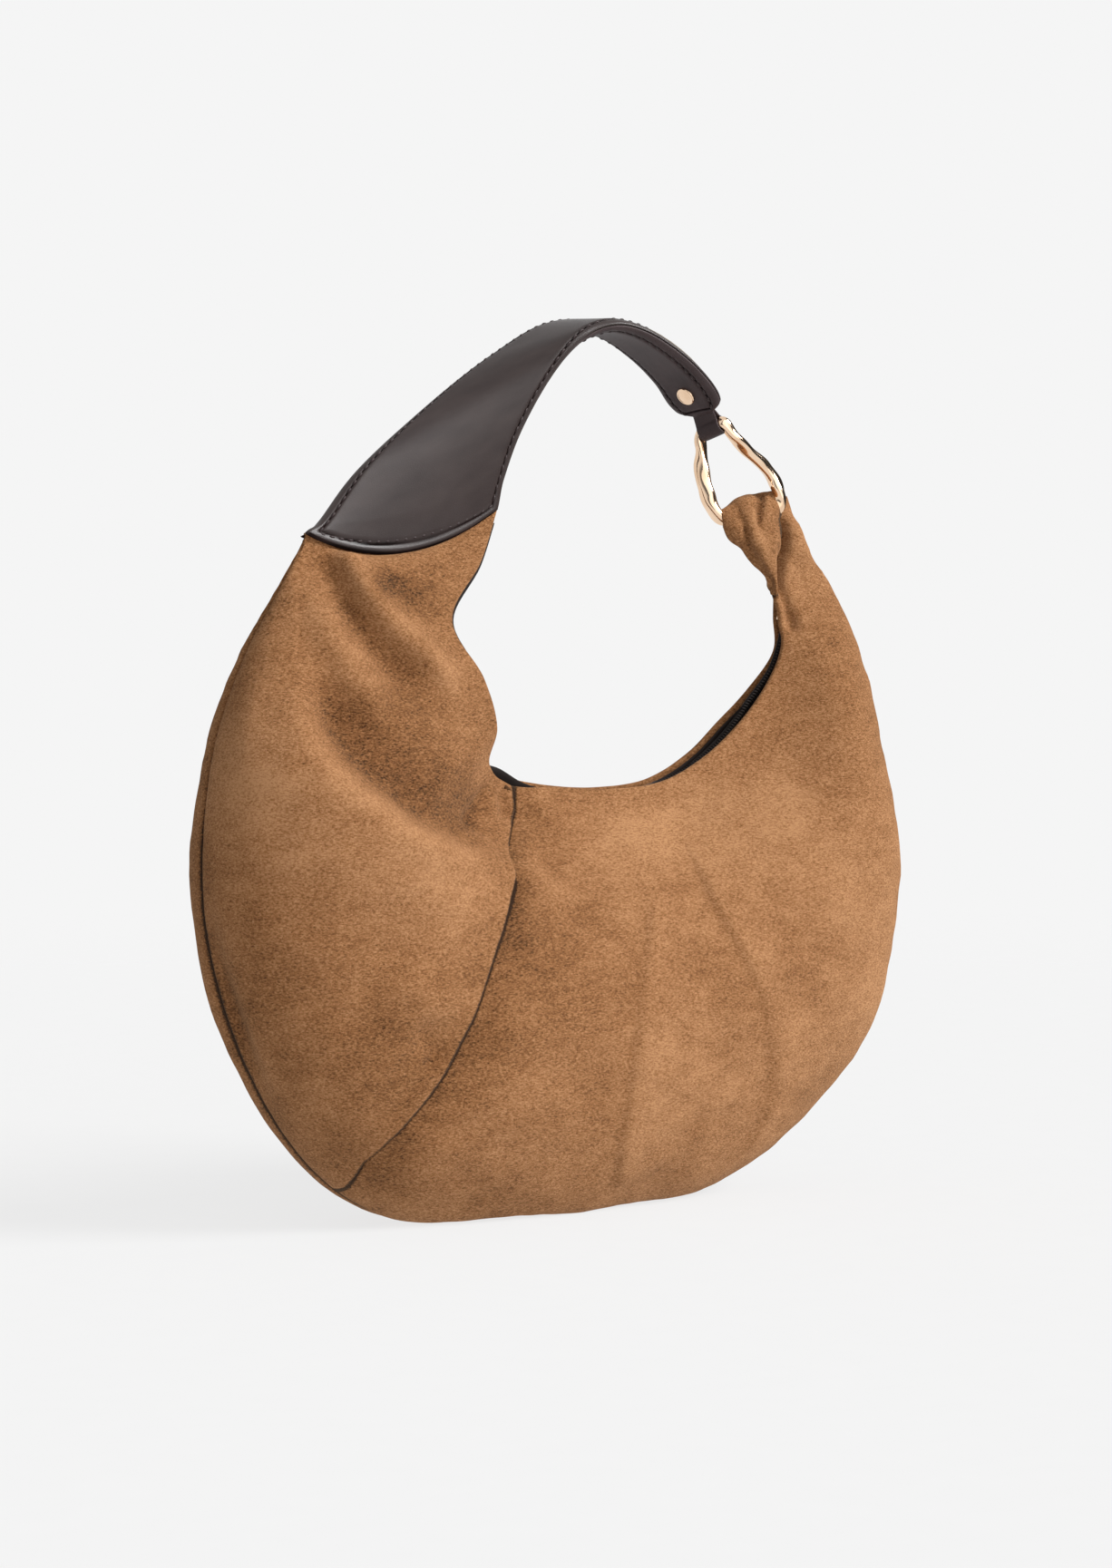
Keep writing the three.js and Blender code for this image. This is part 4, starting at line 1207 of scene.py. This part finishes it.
# ---------------------------------------------------------------- how the pieces move
# The draped front, the back, the facings and the linings have their placing baked into their meshes; the main
# front goes with the bag.
for piece in (draped, back, *facings.values(), *linings.values()):
    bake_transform(piece)
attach(main, "bag")

for side in (FRONT, BACK):
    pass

# ---------------------------------------------------------------- floor, light and camera
FLOOR_RADIUS = 1.9


def floor_piece():
    material, tree, shader = new_material("floor")
    place = node(tree, "TexCoord").outputs["Object"]
    distance = node(tree, "VectorMath", {0: place}, operation="LENGTH").outputs["Value"]
    grit = noise(tree, place, 60.0, 2, 0.5)
    connect(tree, ramp(tree, grit, (0.0, (0.115, 0.115, 0.115)), (1.0, (0.125, 0.125, 0.125))),
            shader.inputs["Base Color"])
    shader.inputs["Roughness"].default_value = 1.0
    shader.inputs["Specular IOR Level"].default_value = 0.0
    shader.inputs["Emission Color"].default_value = (1, 1, 1, 1)
    shader.inputs["Emission Strength"].default_value = 0.765
    limits = {"Value": distance, "From Min": 1.0, "From Max": 1.8, "To Min": 1.0, "To Max": 0.0}
    fade = node(tree, "MapRange", limits, interpolation_type="SMOOTHSTEP").outputs["Result"]
    connect(tree, fade, shader.inputs["Alpha"])
    turn = np.linspace(0, 2 * math.pi, 96, endpoint=False)
    points = [(0, 0, 0)]
    for r in (FLOOR_RADIUS * 0.5, FLOOR_RADIUS):
        points += [(r * math.cos(t), r * math.sin(t), 0) for t in turn]
    faces = [(0, 1 + k, 1 + (k + 1) % 96) for k in range(96)]
    faces += [(1 + k, 97 + k, 97 + (k + 1) % 96, 1 + (k + 1) % 96) for k in range(96)]
    mesh = bpy.data.meshes.new("floor")
    mesh.from_pydata(points, [], faces)
    mesh.materials.append(material)
    floor = bpy.data.objects.new("floor", mesh)
    bpy.context.scene.collection.objects.link(floor)


def sun(name, towards, strength, angle):
    light = bpy.data.lights.new(name, "SUN")
    light.energy = strength
    light.angle = math.radians(angle)
    obj = bpy.data.objects.new(name, light)
    obj.rotation_mode = "QUATERNION"
    obj.rotation_quaternion = Vector(towards).to_track_quat("Z", "Y")
    bpy.context.scene.collection.objects.link(obj)


def grey(value):
    return (value, value, value)


def facing(tree, direction, way):
    return node(tree, "VectorMath", {0: direction, 1: way}, operation="DOT_PRODUCT").outputs["Value"]


def studio():
    """A white room to the camera. Cloth is lit by a soft room that is brighter above. Polished things
    mirror a pale room with a bright box beside the camera and dark gaps around it."""
    world = bpy.data.worlds.new("studio")
    bpy.context.scene.world = world
    world.use_nodes = True
    tree = world.node_tree
    tree.nodes.clear()
    output = node(tree, "OutputWorld")
    seen = node(tree, "Background", {"Color": (0.913, 0.913, 0.913, 1), "Strength": 1.0})
    direction = node(tree, "TexCoord").outputs["Generated"]
    parts = node(tree, "SeparateXYZ", {"Vector": direction})
    height = ramp(tree, maths(tree, "MULTIPLY_ADD", parts.outputs["Z"], 0.5, 0.5),
                  (0.0, grey(0.3)), (0.5, grey(0.3)), (0.72, grey(0.6)), (1.0, grey(0.9)))
    lit = node(tree, "Background", {"Color": height, "Strength": 0.6})
    ahead = facing(tree, direction, (-0.45, -0.89, 0.05))
    aside = facing(tree, direction, (0.93, -0.36, 0))
    gap = ramp(tree, ahead, (0.82, grey(1.0)), (0.95, grey(0.15)))
    dark = ramp(tree, aside, (0.42, grey(1.0)), (0.58, grey(0.03)))
    mirrored = node(tree, "MixRGB", {0: 1.0, 1: gap, 2: dark}, blend_type="MULTIPLY").outputs[0]
    shown = node(tree, "Background", {"Color": mirrored, "Strength": 0.85})
    ray = node(tree, "LightPath").outputs
    other = node(tree, "MixShader", {0: ray["Is Glossy Ray"], 1: lit.outputs[0], 2: shown.outputs[0]})
    mix = node(tree, "MixShader", {0: ray["Is Camera Ray"], 1: other.outputs[0], 2: seen.outputs[0]})
    tree.links.new(mix.outputs[0], output.inputs["Surface"])


def camera():
    """At the photograph's height and turn, looking a little down at the bag's middle."""
    turn, tip, distance = math.radians(-33), math.radians(2.5), 1.704
    low, high = CAD_BOX
    target = (low + high) / 2 + Vector((-0.005, 0, -0.01))
    away = Vector((math.sin(turn) * math.cos(tip), -math.cos(turn) * math.cos(tip), math.sin(tip)))
    data = bpy.data.cameras.new("camera")
    data.lens = 85
    data.sensor_width = 36
    obj = bpy.data.objects.new("camera", data)
    obj.location = target + away * distance
    obj.rotation_mode = "QUATERNION"
    obj.rotation_quaternion = away.to_track_quat("Z", "Y")
    bpy.context.scene.collection.objects.link(obj)
    bpy.context.scene.camera = obj


floor_piece()
studio()
sun("key", (0.62, -0.60, 0.56), 3.8, 28)
sun("fill", (0.0, -1.0, 0.2), 1.0, 60)
camera()
bpy.context.scene.view_settings.view_transform = "Standard"
